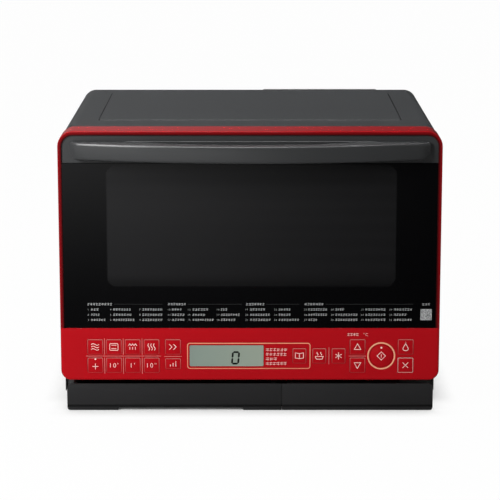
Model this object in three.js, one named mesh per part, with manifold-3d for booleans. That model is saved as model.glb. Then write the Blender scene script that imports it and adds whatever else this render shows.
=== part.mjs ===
// Countertop steam microwave oven with a pull-down door, modelled in millimetres, +Z up.
// X runs to the right and the door faces -Y. The origin lies on the surface that the oven
// stands on, under the middle of the whole oven, handle and rear duct included.
import * as THREE from 'three';
import { mergeVertices } from 'three/addons/utils/BufferGeometryUtils.js';
import Module from 'manifold-3d';

const wasm = await Module();
wasm.setup();

// Overall sizes
const width = 487; // door, side to side
const height = 365; // floor to the top of the door
const bodyDepth = 430; // front of the door to the back of the rear cover
const handleReach = 45; // middle of the handle, in front of the door
const ductDepth = 11; // exhaust duct, behind the rear cover
const seam = 0.3; // clearance between pieces that touch
const overrun = 5; // how far a cutting shape runs past the face that it cuts
const weldDistance = 0.0005; // corners closer than this are one corner

// Door
const doorDepth = 46;
const doorGap = 2.5; // air between the closed door and the cabinet
const doorBottom = 41.1;
const doorTopRadius = 19.5;
const doorBottomRadius = 13;
const doorEdge = 2.5; // rounding round the door's front
const doorWall = 4;
const doorRim = 5; // red frame beside and above the glass
const doorHeelRadius = 24; // lower back edge, rounded so that it swings past the cabinet
const doorBackSill = 3; // red back wall left above the rounded heel
const panelHeight = 69; // red control panel
const panelWall = 3;
const glassWall = 4;
const glassRecess = 0.8;

// Handle
const stripHeight = 35.5;
const stripWall = 3;
const stripRecess = 2;
const barHeight = 22;
const barDrop = 13; // top of the bar, below the top of the door
const barThickness = 16; // bar at its middle, front to back
const barSideGap = 16; // end of the bar, in from the door's side
const barCheek = 10.5; // slanted end beside the bar's front face
const barEndReach = 13; // front face at its ends, in front of the door
const barCheekReach = 4; // outer edge of the slanted end, in front of the door
const barEdge = 3.5;
const barEndChamferWidth = 7.6;
const barEndChamferHeight = 8;
const fingerInset = 73.5; // end of the finger room, in from the end of the bar
const pocketDrop = 1.9; // top of the pocket behind the bar, below the top of the bar
const pocketHeight = 19.5;
const pocketDepth = 12;
const pocketWall = 1.5;

// Keys and display
const keyHeight = 20;
const lowKeyHeight = 14.3;
const keyCorner = 1.6;
const keyGap = 0.35;
const keyStand = 0.2; // how far a key stands out of the panel
const keyFlange = 1.2; // lip that keeps the key behind the panel
const keyFlangeWall = 1;
const keyTravel = 0.5;
const displayHeight = 27.8;
const displayRecess = 0.4;
const displayCorner = 1.5;
const boardWall = 1.6;
const boardStand = 4; // switches between the keys and the control board
const boardMargin = 6;
const boardSideInset = 28.3; // end of the control board, in from the door's side
const switchSize = 6;

// Inner side of the door
const innerPanelDepth = 6;
const innerGlassWall = 4;
const innerGlassMargin = 9; // inner glass past the mouth of the cavity
const innerGlassRadius = 12;
const sheetWall = 1.2;

// Door hinge and latches
const hingeBack = 14; // axis behind the door's front
const hingeRise = 28; // axis above the door's lower edge
const hingePinRadius = 4;
const hingeBossRadius = 8.5;
const hingeBossLength = 9;
const hingeArmRadius = 8;
const hingeArmWall = 3;
const hingeArmInset = 20.5; // outer face of the arm, in from the door's side
const hingePocket = 3.6; // room beside the arm inside the door
const hingeFootWall = 2;
const hingeFootWidth = 20;
const hingeFootRise = 22;
const hingeFootDrop = 16;
const latchDrop = 65; // latch pivot below the door's top
const latchSetBack = 12; // latch pivot in front of the door's back
const latchInset = 21.5; // outer face of the hook, in from the door's side
const latchWall = 4;
const latchHubRadius = 5.5;
const latchPinRadius = 2.5;
const latchReach = 34; // tip of the hook behind its pivot
const latchArmHeight = 7;
const latchNose = 5;
const latchNoseLength = 8;
const latchSlotRise = 20;
const latchSlotDrop = 14;
const latchSlotGap = 2.5;

// Outer cabinet, rear cover and base
const cabinetInset = 1.2; // cabinet side, in from the door's side
const cabinetRadius = 18;
const cabinetSheet = 1;
const embossHeight = 1.2;
const embossSlope = 2.5;
const embossSideGap = 44;
const embossFront = 107; // behind the door's front
const embossRearGap = 46;
const embossRadius = 4;
const footHeight = 14;
const footRadius = 13;
const footInsetX = 27;
const footInsetBack = 40;
const footBehindTray = 21;
const panWallHeight = 29;
const panRadius = 6;
const slotWidth = 3.2;
const slotLength = 34;
const slotPitch = 8;
const slotColumnPitch = 44;
const ductHeight = 74;
const ductEdge = 3;
const ductTopDrop = 1.5; // top of the duct, below the top of the oven

// Drip tray and water tank
const barTop = 35.4; // top of the bar that both make under the door
const barBottom = 0.3;
const barInset = 7; // end of that bar, in from the door's side
const barRecess = 3; // front of that bar, behind the door's front
const barWall = 3;
const barTopRadius = 6;
const barBottomRadius = 3.5;
const bandHeight = 5.1; // lower band of the bar
const bandStep = 1;
const splitGap = 0.5;
const notchHeight = 3.8;
const drawerFloor = 6; // underside of tray and tank
const drawerWall = 2;
const drawerRadius = 5;
const lipWidth = 4;
const lipWall = 2;
const lipTop = 35;
const lipGap = 1;
const ledgeWidth = 3.5;
const ledgeWall = 2;
const trayBodyInset = 18.5; // tray body, in from the door's side
const splitMargin = 11; // tray and tank bodies, away from where their fronts meet
const trayBack = 93; // behind the door's front
const tankBodyInset = 53.5;
const tankBack = 150;
const tankMouthWidth = 60;
const tankMouthLength = 45;
const tankMouthInset = 8;
const drawerEndGap = 2;
const tunnelRoof = 38.5;

// Cavity
const cavitySideRoom = 43; // door's side to the cavity's wall
const cavityRearRoom = 59.5; // cavity's back wall to the rear cover
const ceilingDrop = 34.7; // ceiling of the cavity, below the top of the oven
const cavityFloor = 106;
const cavityRadius = 10; // upper corners
const cavityFloorRadius = 3;
const linerWall = 1.2;
const flangeBottom = 46;
const wellMarginX = 50.5;
const wellMarginY = 36;
const wellDepth = 18;
const wellRadius = 30;
const railWall = 4;
const railHeight = 9;
const railMargin = 14;
const inletMargin = 17; // air inlet, inside the rim of the hot air fan
const inletPitch = 15;
const outletLength = 26;
const outletWidth = 7;
const outletPitch = 16;
const outletInset = 48.5;
const plateWall = 6;
const plateGap = 3;
const plateRadius = 8;
const plateEdge = 1;

// Microwave feed under the cavity
const antennaMargin = 35; // disc, in from the wall of the well
const antennaWall = 1.5;
const antennaRise = 5; // disc above the floor of the well
const antennaHubRadius = 9;
const antennaShaftRadius = 4;
const feedHoleRadius = 12;
const guideWidth = 84;
const guideHeight = 30;
const guideLeft = -48;
const guideInset = 87.5; // end of the waveguide, in from the door's side
const motorRadius = 25;
const motorHeight = 18;
const motorEar = 7;
const magnetronDepth = 68;
const magnetronWidth = 76;
const magnetronHeight = 60;
const magnetronFinWall = 1.5;
const magnetronFinCount = 5;
const magnetronYokeWall = 2;
const magnetronCoreRadius = 22;
const magnetronDomeRadius = 9;
const magnetronDomeLength = 24;

// Weight sensors
const sensorLength = 44;
const sensorWidth = 12;
const sensorHeight = 8;
const sensorPinRadius = 2.5;
const sensorPinGap = 1;
const sensorEdgeInset = 20;

// Hot air behind the cavity
const casingSideGap = 16.5;
const casingFloorGap = 17.3;
const casingCeilingGap = 17;
const casingDepth = 28;
const casingRim = 7;
const casingRadius = 20;
const hotFanGap = 12; // hot air fan, inside the ring heater
const hotFanDepth = 18;
const hotFanWall = 1.2;
const hotFanHubRadius = 9;
const hotFanBoreRadius = 3.3;
const hotFanBladeCount = 9;
const hotFanBladeInner = 34;
const hotFanBladeMargin = 2;
const hotFanBackGap = 3; // disc in front of the casing's back
const hotMotorRadius = 28;
const hotMotorDepth = 22;
const hotMotorEar = 10;
const hotShaftRadius = 3;
const hotShaftLength = 20;
const shaftHoleRadius = 6;
const heaterGap = 11; // ring heater, inside the casing
const heaterTubeRadius = 3.2;
const heaterTerminalLength = 34;
const heaterTerminalGap = 11;

// Grill heater, boiler, pump, lamp
const grillSideGap = 35.5;
const grillEndGap = 41;
const grillWall = 5;
const grillRibCount = 6;
const grillRibWidth = 12;
const grillRibWall = 6;
const grillRibInset = 12;
const boilerWidth = 30;
const boilerLength = 96;
const boilerHeight = 58;
const boilerRadius = 6;
const boilerDrop = 118; // middle of the boiler, below the ceiling
const boilerBack = 205; // middle of the boiler, behind the cavity's mouth
const boilerRibWall = 3;
const boilerRibCount = 4;
const boilerRibInset = 6;
const spoutRadius = 5;
const spoutLength = 5;
const pumpRadius = 14;
const pumpLength = 40;
const pumpOffset = 33; // pump, left of the tank's middle
const pumpBehindTank = 30;
const pumpFootWidth = 26;
const pumpFootWall = 3;
const pumpNozzleRadius = 3.5;
const lampHoleRadius = 14;
const lampDepth = 24;
const lampSize = 40;
const lampDrop = 40;
const lampBack = 70;
const lampGlassDepth = 5;

// Inverter board and cooling fan
const inverterInset = 17.5; // board, in from the door's side
const inverterWidth = 118;
const inverterLength = 150;
const inverterFront = 160; // behind the door's front
const inverterStand = 8;
const standRadius = 4;
const transformerWidth = 52;
const transformerLength = 48;
const transformerHeight = 36;
const sinkFinWall = 2;
const sinkFinHeight = 34;
const sinkFinLength = 60;
const sinkFinPitch = 7;
const sinkFinCount = 5;
const capacitorRadius = 11;
const capacitorHeight = 30;
const capPitch = 27;
const fanFrameSize = 88;
const fanFrameDepth = 24;
const fanInset = 75.5; // axis of the cooling fan, in from the door's side
const fanRise = 62;
const fanBoreRadius = 41;
const fanRotorRadius = 38.5;
const fanHubRadius = 17;
const fanHubDepth = 14;
const fanBladeCount = 7;
const fanBladeWidth = 19;
const fanBladeWall = 1.6;
const fanStrutWidth = 5;
const fanStrutWall = 4;
const fanSpindleRadius = 2;
const fanSpindleBore = 2.3;

// Switches and cord gland
const bracketWall = 2;
const bracketHeight = 74;
const bracketDepth = 34;
const bracketInset = 12; // outer face of the bracket, in from the door's side
const bracketSwitchWall = 5;
const bracketSwitchHeight = 16;
const bracketSwitchDepth = 10;
const bracketSwitchPitch = 24;
const glandInset = 38.5;
const glandRise = 70;
const glandNeckRadius = 8;
const glandCollarRadius = 11;
const glandCollarWall = 4;
const glandBore = 4.5;
const glandTail = 12;

// Counts and shares that go with no length
const arcSteps = 3;
const shellArcSteps = 4;
const barArcSteps = 12;
const cornerSteps = 1;
const edgeSteps = 2;
const roundSides = 20;
const discSides = 28;
const smallSides = 10;
const footSides = 16;
const tubeSides = 6;
const intakeRows = 7;
const ductRows = 3;
const baseRows = 5;
const outletRows = 4;
const vaneSteps = 3;
const antennaSlotCount = 4;
const hotFanSweep = 0.62; // turn of a blade from its root to its tip
const hotFanCurve = 1.4;
const footSoleShare = 0.12; // rounding of the sole
const footTopShare = 0.86; // foot at the top
const fanBladePitch = 0.62;
const quarter = Math.PI / 2;

// Shares of the door's half width: display, keys, tray, tank and duct
const displayWidthShare = 0.39;
const displayXShare = -0.124;
const keyWidthShare = 0.0822;
const menuKeyWidthShare = 0.0723;
const startKeyRadiusShare = 0.06;
const splitXShare = 0.1684; // where tray and tank meet
const notchXShare = -0.368;
const notchWidthShare = 0.6653;
const ductXShare = 0.419;
const ductWidthShare = 0.69;

// Shares of the antenna disc's radius
const antennaSlotLengthShare = 0.49;
const antennaSlotWidthShare = 0.156;
const antennaSlotCentreShare = 0.622;

// Places of the keys: shares of the panel's half width and of its height
const keyUpperShare = 0.642;
const keyLowerShare = 0.291;
const keyMiddleShare = 0.47;
const keyLowRowShare = 0.318;
const keyLayoutShares = [
  ['key_microwave', -0.818, keyUpperShare, 'square'],
  ['key_oven', -0.719, keyUpperShare, 'square'],
  ['key_grill', -0.62, keyUpperShare, 'square'],
  ['key_steam', -0.52, keyUpperShare, 'square'],
  ['key_add_time', -0.818, keyLowerShare, 'square'],
  ['key_ten_minutes', -0.719, keyLowerShare, 'square'],
  ['key_one_minute', -0.62, keyLowerShare, 'square'],
  ['key_ten_seconds', -0.52, keyLowerShare, 'square'],
  ['key_quick', -0.407, keyUpperShare, 'square'],
  ['key_doneness', -0.407, keyLowRowShare, 'low'],
  ['key_recipes', 0.261, keyMiddleShare, 'menu'],
  ['key_reheat', 0.366, keyMiddleShare, 'menu'],
  ['key_defrost', 0.468, keyMiddleShare, 'menu'],
  ['key_up', 0.568, keyUpperShare, 'square'],
  ['key_down', 0.568, keyLowerShare, 'square'],
  ['key_start', 0.694, keyMiddleShare, 'round'],
  ['key_care', 0.822, keyUpperShare, 'square'],
  ['key_cancel', 0.822, keyLowerShare, 'square'],
];
const railLevelShares = [0.27, 0.56];

// Planes and centres that follow from the sizes above
const doorFront = handleReach - (handleReach + bodyDepth + ductDepth) / 2;
const doorBack = doorFront + doorDepth;
const bodyFront = doorBack + doorGap;
const bodyBack = doorFront + bodyDepth;
const halfWidth = width / 2;
const glassBottom = doorBottom + panelHeight;
const stripBottom = height - doorRim - stripHeight;
const doorSillTop = doorBottom + doorHeelRadius + doorBackSill;
const hingeY = doorFront + hingeBack;
const hingeZ = doorBottom + hingeRise;
const latchY = doorBack - latchSetBack;
const latchZ = height - latchDrop;
const cabinetHalf = halfWidth - cabinetInset;
const cabinetTop = height - embossHeight;
const cavityHalf = halfWidth - cavitySideRoom;
const linerBack = bodyBack - cavityRearRoom;
const cavityMiddle = (bodyFront + linerBack) / 2;
const ceiling = height - ceilingDrop;
const wellFloor = cavityFloor - wellDepth;
const wellHalfY = linerBack - cavityMiddle - wellMarginY;
const antennaRadius = wellHalfY - antennaMargin;
const barFront = doorFront + barRecess;
const splitX = halfWidth * splitXShare;
const trayBodyLeft = -halfWidth + trayBodyInset;
const trayBodyRight = splitX - splitMargin;
const tankBodyLeft = splitX + splitMargin;
const tankBodyRight = halfWidth - tankBodyInset;
const tankCentre = (tankBodyLeft + tankBodyRight) / 2;
const guideTop = wellFloor - linerWall - seam;
const guideBottom = guideTop - guideHeight;
const guideRight = halfWidth - guideInset;
const casingBottom = cavityFloor + casingFloorGap;
const casingTop = ceiling - casingCeilingGap;
const hotFanZ = (casingBottom + casingTop) / 2;
const heaterRingRadius = (casingTop - casingBottom) / 2 - heaterGap;
const hotFanRadius = heaterRingRadius - hotFanGap;
const inletRadius = hotFanRadius - inletMargin;
const casingBack = linerBack + linerWall + seam + casingDepth;
const panFront = bodyFront + linerWall + seam;
const panBack = bodyBack - cabinetSheet - seam;
const fanBack = panBack - sheetWall - seam;
const fanX = -halfWidth + fanInset;
const glandX = halfWidth - glandInset;
const keyWidth = halfWidth * keyWidthShare;
const startKeyRadius = halfWidth * startKeyRadiusShare;
const barHalfWidth = halfWidth - barSideGap;

// Finishes: colour, roughness and metalness
const redEnamel = [0xa8141c, 0.32, 0];
const darkPaint = [0x484848, 0.62, 0];
const greyPlastic = [0x3c3d3e, 0.5, 0];
const blackGlass = [0x08080a, 0.06, 0];
const clearGlass = [0x202224, 0.08, 0];
const barPlastic = [0x2c2c2d, 0.48, 0];
const cavityEnamel = [0x55575a, 0.4, 0.1];
const zincSteel = [0x9a9c9e, 0.4, 0.9];
const darkSteel = [0x3a3b3c, 0.45, 0.6];
const aluminium = [0xb8babc, 0.38, 0.9];
const ceramic = [0x2f3032, 0.3, 0];
const displayGlass = [0x96a596, 0.2, 0];
const boardGreen = [0x2f5a3a, 0.6, 0];
const blackPlastic = [0x1a1a1b, 0.6, 0];
const rubber = [0x161616, 0.85, 0];

// A closed geometry as a solid that can be joined and cut
function solid(geometry) {
  const bare = geometry.clone();
  bare.deleteAttribute('normal');
  bare.deleteAttribute('uv');
  const merged = mergeVertices(bare, weldDistance);
  const mesh = new wasm.Mesh({
    numProp: 3,
    vertProperties: Float32Array.from(merged.attributes.position.array),
    triVerts: Uint32Array.from(merged.index.array),
  });
  return new wasm.Manifold(mesh);
}

// First solid with all the others joined to it
function join(first, ...others) {
  return others.reduce((whole, other) => whole.add(other), first);
}

// First solid with all the others cut out of it
function cut(first, ...others) {
  return others.reduce((whole, other) => whole.subtract(other), first);
}

// Rectangle with rounded corners; the two upper corners may have their own radius
function roundedRect(left, right, bottom, top, lowRadius, highRadius = lowRadius) {
  const shape = new THREE.Shape();
  shape.moveTo(left + lowRadius, bottom);
  const corners = [
    [right, bottom, -1, 1, lowRadius, 3],
    [right, top, -1, -1, highRadius, 0],
    [left, top, 1, -1, highRadius, 1],
    [left, bottom, 1, 1, lowRadius, 2],
  ];
  for (const [x, y, towardX, towardY, radius, turn] of corners) {
    if (radius > 0) {
      const centreX = x + towardX * radius;
      const centreY = y + towardY * radius;
      shape.absarc(centreX, centreY, radius, turn * quarter, (turn + 1) * quarter, false);
    } else {
      shape.lineTo(x, y);
    }
  }
  return shape;
}

// Closed outline through a list of corners
function polygon(points) {
  return new THREE.Shape(points.map(([x, y]) => new THREE.Vector2(x, y)));
}

// Extruded outline, rounded by edge along both ends where one is given
function extruded(shape, depth, edge = 0, steps = arcSteps) {
  const geometry = new THREE.ExtrudeGeometry(shape, {
    depth: depth - 2 * edge,
    steps: 1,
    curveSegments: steps,
    bevelEnabled: edge > 0,
    bevelThickness: edge,
    bevelSize: edge,
    bevelOffset: -edge,
    bevelSegments: edgeSteps,
  });
  return geometry.translate(0, 0, edge);
}

// Outline drawn in X and Z, standing between two depths
function facing(shape, front, back, edge = 0, steps = arcSteps) {
  const geometry = extruded(shape, back - front, edge, steps);
  return solid(geometry.rotateX(quarter).translate(0, back, 0));
}

// Outline drawn in X and Y, lying between two heights
function lying(shape, bottom, top, edge = 0, steps = arcSteps) {
  return solid(extruded(shape, top - bottom, edge, steps).translate(0, 0, bottom));
}

// Outline drawn in Y and Z, standing between two side planes
function sideways(shape, left, right, edge = 0, steps = arcSteps) {
  const turned = new THREE.Matrix4().makeBasis(
    new THREE.Vector3(0, 1, 0),
    new THREE.Vector3(0, 0, 1),
    new THREE.Vector3(1, 0, 0),
  );
  const geometry = extruded(shape, right - left, edge, steps).applyMatrix4(turned);
  return solid(geometry.translate(left, 0, 0));
}

// Block between two corners
function block(left, right, front, back, bottom, top) {
  const geometry = new THREE.BoxGeometry(right - left, back - front, top - bottom);
  geometry.translate((left + right) / 2, (front + back) / 2, (bottom + top) / 2);
  return solid(geometry);
}

// Round bars along the three axes
function rodX(radius, left, right, y, z, sides = smallSides) {
  const geometry = new THREE.CylinderGeometry(radius, radius, right - left, sides);
  return solid(geometry.rotateZ(quarter).translate((left + right) / 2, y, z));
}

function rodY(radius, front, back, x, z, sides = smallSides) {
  const geometry = new THREE.CylinderGeometry(radius, radius, back - front, sides);
  return solid(geometry.translate(x, (front + back) / 2, z));
}

function rodZ(radius, bottom, top, x, y, sides = smallSides) {
  const geometry = new THREE.CylinderGeometry(radius, radius, top - bottom, sides);
  return solid(geometry.rotateX(quarter).translate(x, y, (bottom + top) / 2));
}

// The same solid on the other side of the middle plane
function mirrored(shape) {
  return shape.mirror([1, 0, 0]);
}

// Named mesh with a material of its own
function piece(name, shape, [colour, roughness, metalness]) {
  const mesh = shape.getMesh();
  const geometry = new THREE.BufferGeometry();
  const positions = new THREE.BufferAttribute(Float32Array.from(mesh.vertProperties), 3);
  geometry.setAttribute('position', positions);
  geometry.setIndex(new THREE.BufferAttribute(Uint32Array.from(mesh.triVerts), 1));
  const material = new THREE.MeshStandardMaterial({ color: colour, roughness, metalness });
  const part = new THREE.Mesh(geometry, material);
  part.name = name;
  return part;
}

// Keys: where each one sits and how large it is
function keyPlan() {
  const sizes = {
    square: [keyWidth, keyHeight],
    low: [keyWidth, lowKeyHeight],
    menu: [halfWidth * menuKeyWidthShare, keyHeight],
  };
  return keyLayoutShares.map(([name, xShare, zShare, kind]) => {
    const x = xShare * halfWidth;
    const z = doorBottom + zShare * panelHeight;
    return { name, x, z, size: sizes[kind] };
  });
}

// Outline of a key, grown by a margin; the start key is round
function keyOutline(key, margin) {
  if (!key.size) {
    const shape = new THREE.Shape();
    shape.absarc(key.x, key.z, startKeyRadius + margin, 0, 4 * quarter, false);
    return shape;
  }
  const halfX = key.size[0] / 2 + margin;
  const halfZ = key.size[1] / 2 + margin;
  const radius = keyCorner + margin;
  return roundedRect(key.x - halfX, key.x + halfX, key.z - halfZ, key.z + halfZ, radius);
}

function displayOutline(margin) {
  const x = displayXShare * halfWidth;
  const z = doorBottom + keyMiddleShare * panelHeight;
  const halfX = (halfWidth * displayWidthShare) / 2 + margin;
  const halfZ = displayHeight / 2 + margin;
  return roundedRect(x - halfX, x + halfX, z - halfZ, z + halfZ, displayCorner);
}

// Door outline seen from the front, drawn in by an inset
function doorOutline(inset, bottom = doorBottom + inset, lowRadius = doorBottomRadius - inset) {
  const half = halfWidth - inset;
  return roundedRect(-half, half, bottom, height - inset, lowRadius, doorTopRadius - inset);
}

// Door seen from the side: straight front, rounded heel at the lower back
function doorSideProfile() {
  const heelY = doorBack - doorHeelRadius;
  const heelZ = doorBottom + doorHeelRadius;
  const shape = new THREE.Shape();
  shape.moveTo(doorFront - overrun, doorBottom - overrun);
  shape.lineTo(heelY, doorBottom - overrun);
  shape.absarc(heelY, heelZ, doorHeelRadius, 3 * quarter, 4 * quarter, false);
  shape.lineTo(doorBack, height + overrun);
  shape.lineTo(doorFront - overrun, height + overrun);
  return shape;
}

// Hollow of the door from the side: closed behind up to the sill, open above it
function doorHollowProfile() {
  const heelY = doorBack - doorHeelRadius;
  const heelZ = doorBottom + doorHeelRadius;
  const shape = new THREE.Shape();
  shape.moveTo(doorFront + panelWall, doorBottom);
  shape.lineTo(heelY, doorBottom);
  shape.absarc(heelY, heelZ, doorHeelRadius - doorWall, 3 * quarter, 4 * quarter, false);
  shape.lineTo(doorBack - doorWall, doorSillTop);
  shape.lineTo(doorBack + overrun, doorSillTop);
  shape.lineTo(doorBack + overrun, height);
  shape.lineTo(doorFront + panelWall, height);
  return shape;
}

// Room for a hinge arm, open to the back and below so that the door can swing round it
function hingePocketCut(margin) {
  const outer = halfWidth - hingeArmInset + hingePocket;
  const inner = halfWidth - hingeArmInset - hingeArmWall - hingePocket;
  const front = hingeY - hingeArmRadius - margin;
  const top = hingeZ + hingeArmRadius + margin;
  return block(inner, outer, front, doorBack + overrun, doorBottom - overrun, top);
}

// Slot in the back of the door for a latch hook
function latchSlotCut(front, back) {
  const outer = halfWidth - latchInset + latchSlotGap;
  const inner = halfWidth - latchInset - latchWall - latchSlotGap;
  return block(inner, outer, front, back, latchZ - latchSlotDrop, latchZ + latchSlotRise);
}

// Boss on the door's side wall that turns on the hinge pin, and the stud of the latch
function doorBoss() {
  const wall = halfWidth - doorWall;
  const left = wall - hingeBossLength;
  const ring = rodX(hingeBossRadius, left, wall + doorWall / 2, hingeY, hingeZ, footSides);
  const bore = rodX(hingePinRadius + seam, left - overrun, wall, hingeY, hingeZ, roundSides);
  const studEnd = halfWidth - latchInset - latchWall - seam;
  const stud = rodX(latchPinRadius, studEnd, wall + doorWall / 2, latchY, latchZ);
  return { ring, bore, stud };
}

// Red moulded door frame with the control panel
function doorFrame() {
  const outside = facing(doorOutline(0), doorFront, doorBack + doorEdge, doorEdge, shellArcSteps);
  const body = outside.intersect(sideways(doorSideProfile(), -halfWidth, halfWidth));
  const hollow = facing(doorOutline(doorWall), doorFront, doorBack + overrun);
  const room = hollow.intersect(sideways(doorHollowProfile(), -halfWidth, halfWidth));
  const opening = doorOutline(doorRim, glassBottom, 0);
  const window = facing(opening, doorFront - overrun, doorFront + panelWall + overrun);
  const panelBack = doorFront + panelWall + overrun;
  const holes = keyPlan().map((key) =>
    facing(keyOutline(key, keyGap), doorFront - overrun, panelBack, 0, keySteps(key)));
  const display = facing(displayOutline(seam), doorFront - overrun, panelBack, 0, cornerSteps);
  const pocket = hingePocketCut(seam);
  const shell = cut(body, room, window, display, pocket, mirrored(pocket), ...holes);
  const boss = doorBoss();
  const bossed = join(shell, boss.ring, mirrored(boss.ring), boss.stud, mirrored(boss.stud));
  return cut(bossed, boss.bore, mirrored(boss.bore));
}

function frontGlass() {
  const half = halfWidth - doorRim - seam;
  const outline = roundedRect(-half, half, glassBottom + seam, stripBottom - seam, 0);
  return facing(outline, doorFront + glassRecess, doorFront + glassRecess + glassWall);
}

// Arc in plan that bulges forward by a rise over a half chord, as centre and radius
function forwardArc(halfChord, chordY, rise) {
  const radius = (halfChord ** 2 + rise ** 2) / (2 * rise);
  const spread = Math.asin(halfChord / radius);
  return { centreY: chordY - rise + radius, radius, from: -quarter - spread, to: -quarter + spread };
}

// Handle bar from above: slanted cheeks and a bowed front
function barPlan() {
  const root = doorFront + stripRecess + stripWall / 2;
  const faceHalf = barHalfWidth - barCheek;
  const bow = forwardArc(faceHalf, doorFront - barEndReach, handleReach - barEndReach);
  const shape = new THREE.Shape();
  shape.moveTo(-barHalfWidth, root);
  shape.lineTo(-barHalfWidth, doorFront - barCheekReach);
  shape.absarc(0, bow.centreY, bow.radius, bow.from, bow.to, false);
  shape.lineTo(barHalfWidth, doorFront - barCheekReach);
  shape.lineTo(barHalfWidth, root);
  return shape;
}

// Lens between the bar and the strip behind it, where the fingers go
function fingerPlan() {
  const face = doorFront + stripRecess;
  const rise = handleReach - barThickness + stripRecess;
  const bow = forwardArc(barHalfWidth - fingerInset, face, rise);
  const shape = new THREE.Shape();
  shape.absarc(0, bow.centreY, bow.radius, bow.from, bow.to, false);
  return shape;
}

// Bar from the front: lower outer corners cut off at a slant
function barFace(bottom, top) {
  return polygon([
    [-barHalfWidth + barEndChamferWidth, bottom],
    [barHalfWidth - barEndChamferWidth, bottom],
    [barHalfWidth, bottom + barEndChamferHeight],
    [barHalfWidth, top],
    [-barHalfWidth, top],
    [-barHalfWidth, bottom + barEndChamferHeight],
  ]);
}

// Pocket in the strip behind the bar for the fingertips, or its walls when it is larger all round
function fingerPocket(top, larger, front, back) {
  const half = barHalfWidth - fingerInset + larger;
  const outline = roundedRect(-half, half, top - pocketHeight - larger, top + larger, 0);
  return facing(outline, front, back);
}

// Bowed handle and the full-width strip that it is moulded with
function handle() {
  const top = height - barDrop;
  const bottom = top - barHeight;
  const bowed = lying(barPlan(), bottom, top, barEdge, barArcSteps);
  const fingers = lying(fingerPlan(), bottom - overrun, top + overrun, 0, barArcSteps);
  const face = facing(barFace(bottom, top), doorFront - handleReach - overrun, doorBack);
  const half = halfWidth - doorRim - seam;
  const stripTop = height - doorRim - seam;
  const radius = doorTopRadius - doorRim - seam;
  const outline = roundedRect(-half, half, stripBottom, stripTop, 0, radius);
  const front = doorFront + stripRecess;
  const strip = facing(outline, front, front + stripWall);
  const pocketTop = top - pocketDrop;
  const pocketEnd = front + pocketDepth;
  const box = fingerPocket(pocketTop, pocketWall, front, pocketEnd + pocketWall);
  const room = fingerPocket(pocketTop, 0, front - overrun, pocketEnd);
  return join(cut(join(strip, box), room), cut(bowed, fingers).intersect(face));
}

// Facets along an outline of a key: few at square corners, more round the start key
function keySteps(key) {
  return key.size ? cornerSteps : smallSides;
}

// Key cap with a lip that keeps it behind the panel
function keyCap(key) {
  const lipFront = doorFront + panelWall + seam;
  const steps = keySteps(key);
  const cap = facing(keyOutline(key, 0), doorFront - keyStand, lipFront + keyFlangeWall, 0, steps);
  const lip = facing(keyOutline(key, keyFlange), lipFront, lipFront + keyFlangeWall, 0, steps);
  return join(cap, lip);
}

function displayWindow() {
  return facing(displayOutline(0), doorFront + displayRecess, doorFront + panelWall, 0, cornerSteps);
}

// Control board with a switch behind each key and the display module
function controlBoard() {
  const keyBack = doorFront + panelWall + seam + keyFlangeWall;
  const tips = keyBack + keyTravel + seam;
  const front = tips + boardStand;
  const plan = keyPlan();
  const right = halfWidth - boardSideInset;
  const low = doorBottom + doorWall + boardMargin / 2;
  const high = glassBottom - boardMargin;
  const board = block(-right, right, front, front + boardWall, low, high);
  const half = switchSize / 2;
  const switches = plan.map((key) =>
    block(key.x - half, key.x + half, tips, front + boardWall / 2, key.z - half, key.z + half));
  const module = facing(displayOutline(0), doorFront + panelWall + seam, front + boardWall / 2, 0,
    cornerSteps);
  return join(board, module, ...switches);
}

// Inner glass outline: past the mouth of the cavity on every side
function innerGlassOutline(margin) {
  const half = cavityHalf + innerGlassMargin + margin;
  const low = cavityFloor - margin;
  const high = ceiling + innerGlassMargin + margin;
  return roundedRect(-half, half, low, high, innerGlassRadius + margin);
}

// Pressed inner door panel: a rim all round, a seat for the glass and the thin screen in it
function innerPanel() {
  const inset = doorWall + seam;
  const front = doorBack - innerPanelDepth;
  const low = doorSillTop + seam;
  const plate = facing(doorOutline(inset, low, sheetWall), front, doorBack);
  const hollowOutline = doorOutline(inset + sheetWall, low + sheetWall, 0);
  hollowOutline.holes.push(innerGlassOutline(seam + sheetWall));
  const hollow = facing(hollowOutline, front - overrun, doorBack - sheetWall);
  const seat = facing(innerGlassOutline(seam), doorBack - innerGlassWall - seam, doorBack + overrun);
  const pocket = hingePocketCut(seam);
  const slot = latchSlotCut(front - overrun, doorBack + overrun);
  return cut(plate, hollow, seat, pocket, mirrored(pocket), slot, mirrored(slot));
}

function innerGlass() {
  return facing(innerGlassOutline(0), doorBack - innerGlassWall, doorBack);
}

// Latch hook: hub on the door's stud, arm through the cabinet's slot, nose turned down
function latchHook() {
  const armHalf = latchArmHeight / 2;
  const tip = latchY + latchReach;
  const profile = polygon([
    [latchY, latchZ - armHalf],
    [tip - latchNoseLength, latchZ - armHalf],
    [tip - latchNoseLength, latchZ - armHalf - latchNose],
    [tip - latchNoseLength / 2, latchZ - armHalf - latchNose],
    [tip, latchZ - armHalf + latchNose / 2],
    [tip - latchNose / 2, latchZ + armHalf],
    [latchY, latchZ + armHalf],
  ]);
  const right = halfWidth - latchInset;
  const left = right - latchWall;
  const arm = sideways(profile, left, right);
  const hub = rodX(latchHubRadius, left, right, latchY, latchZ, roundSides);
  const bore = rodX(latchPinRadius + seam, left - overrun, right + overrun, latchY, latchZ);
  return cut(join(arm, hub), bore);
}

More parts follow.
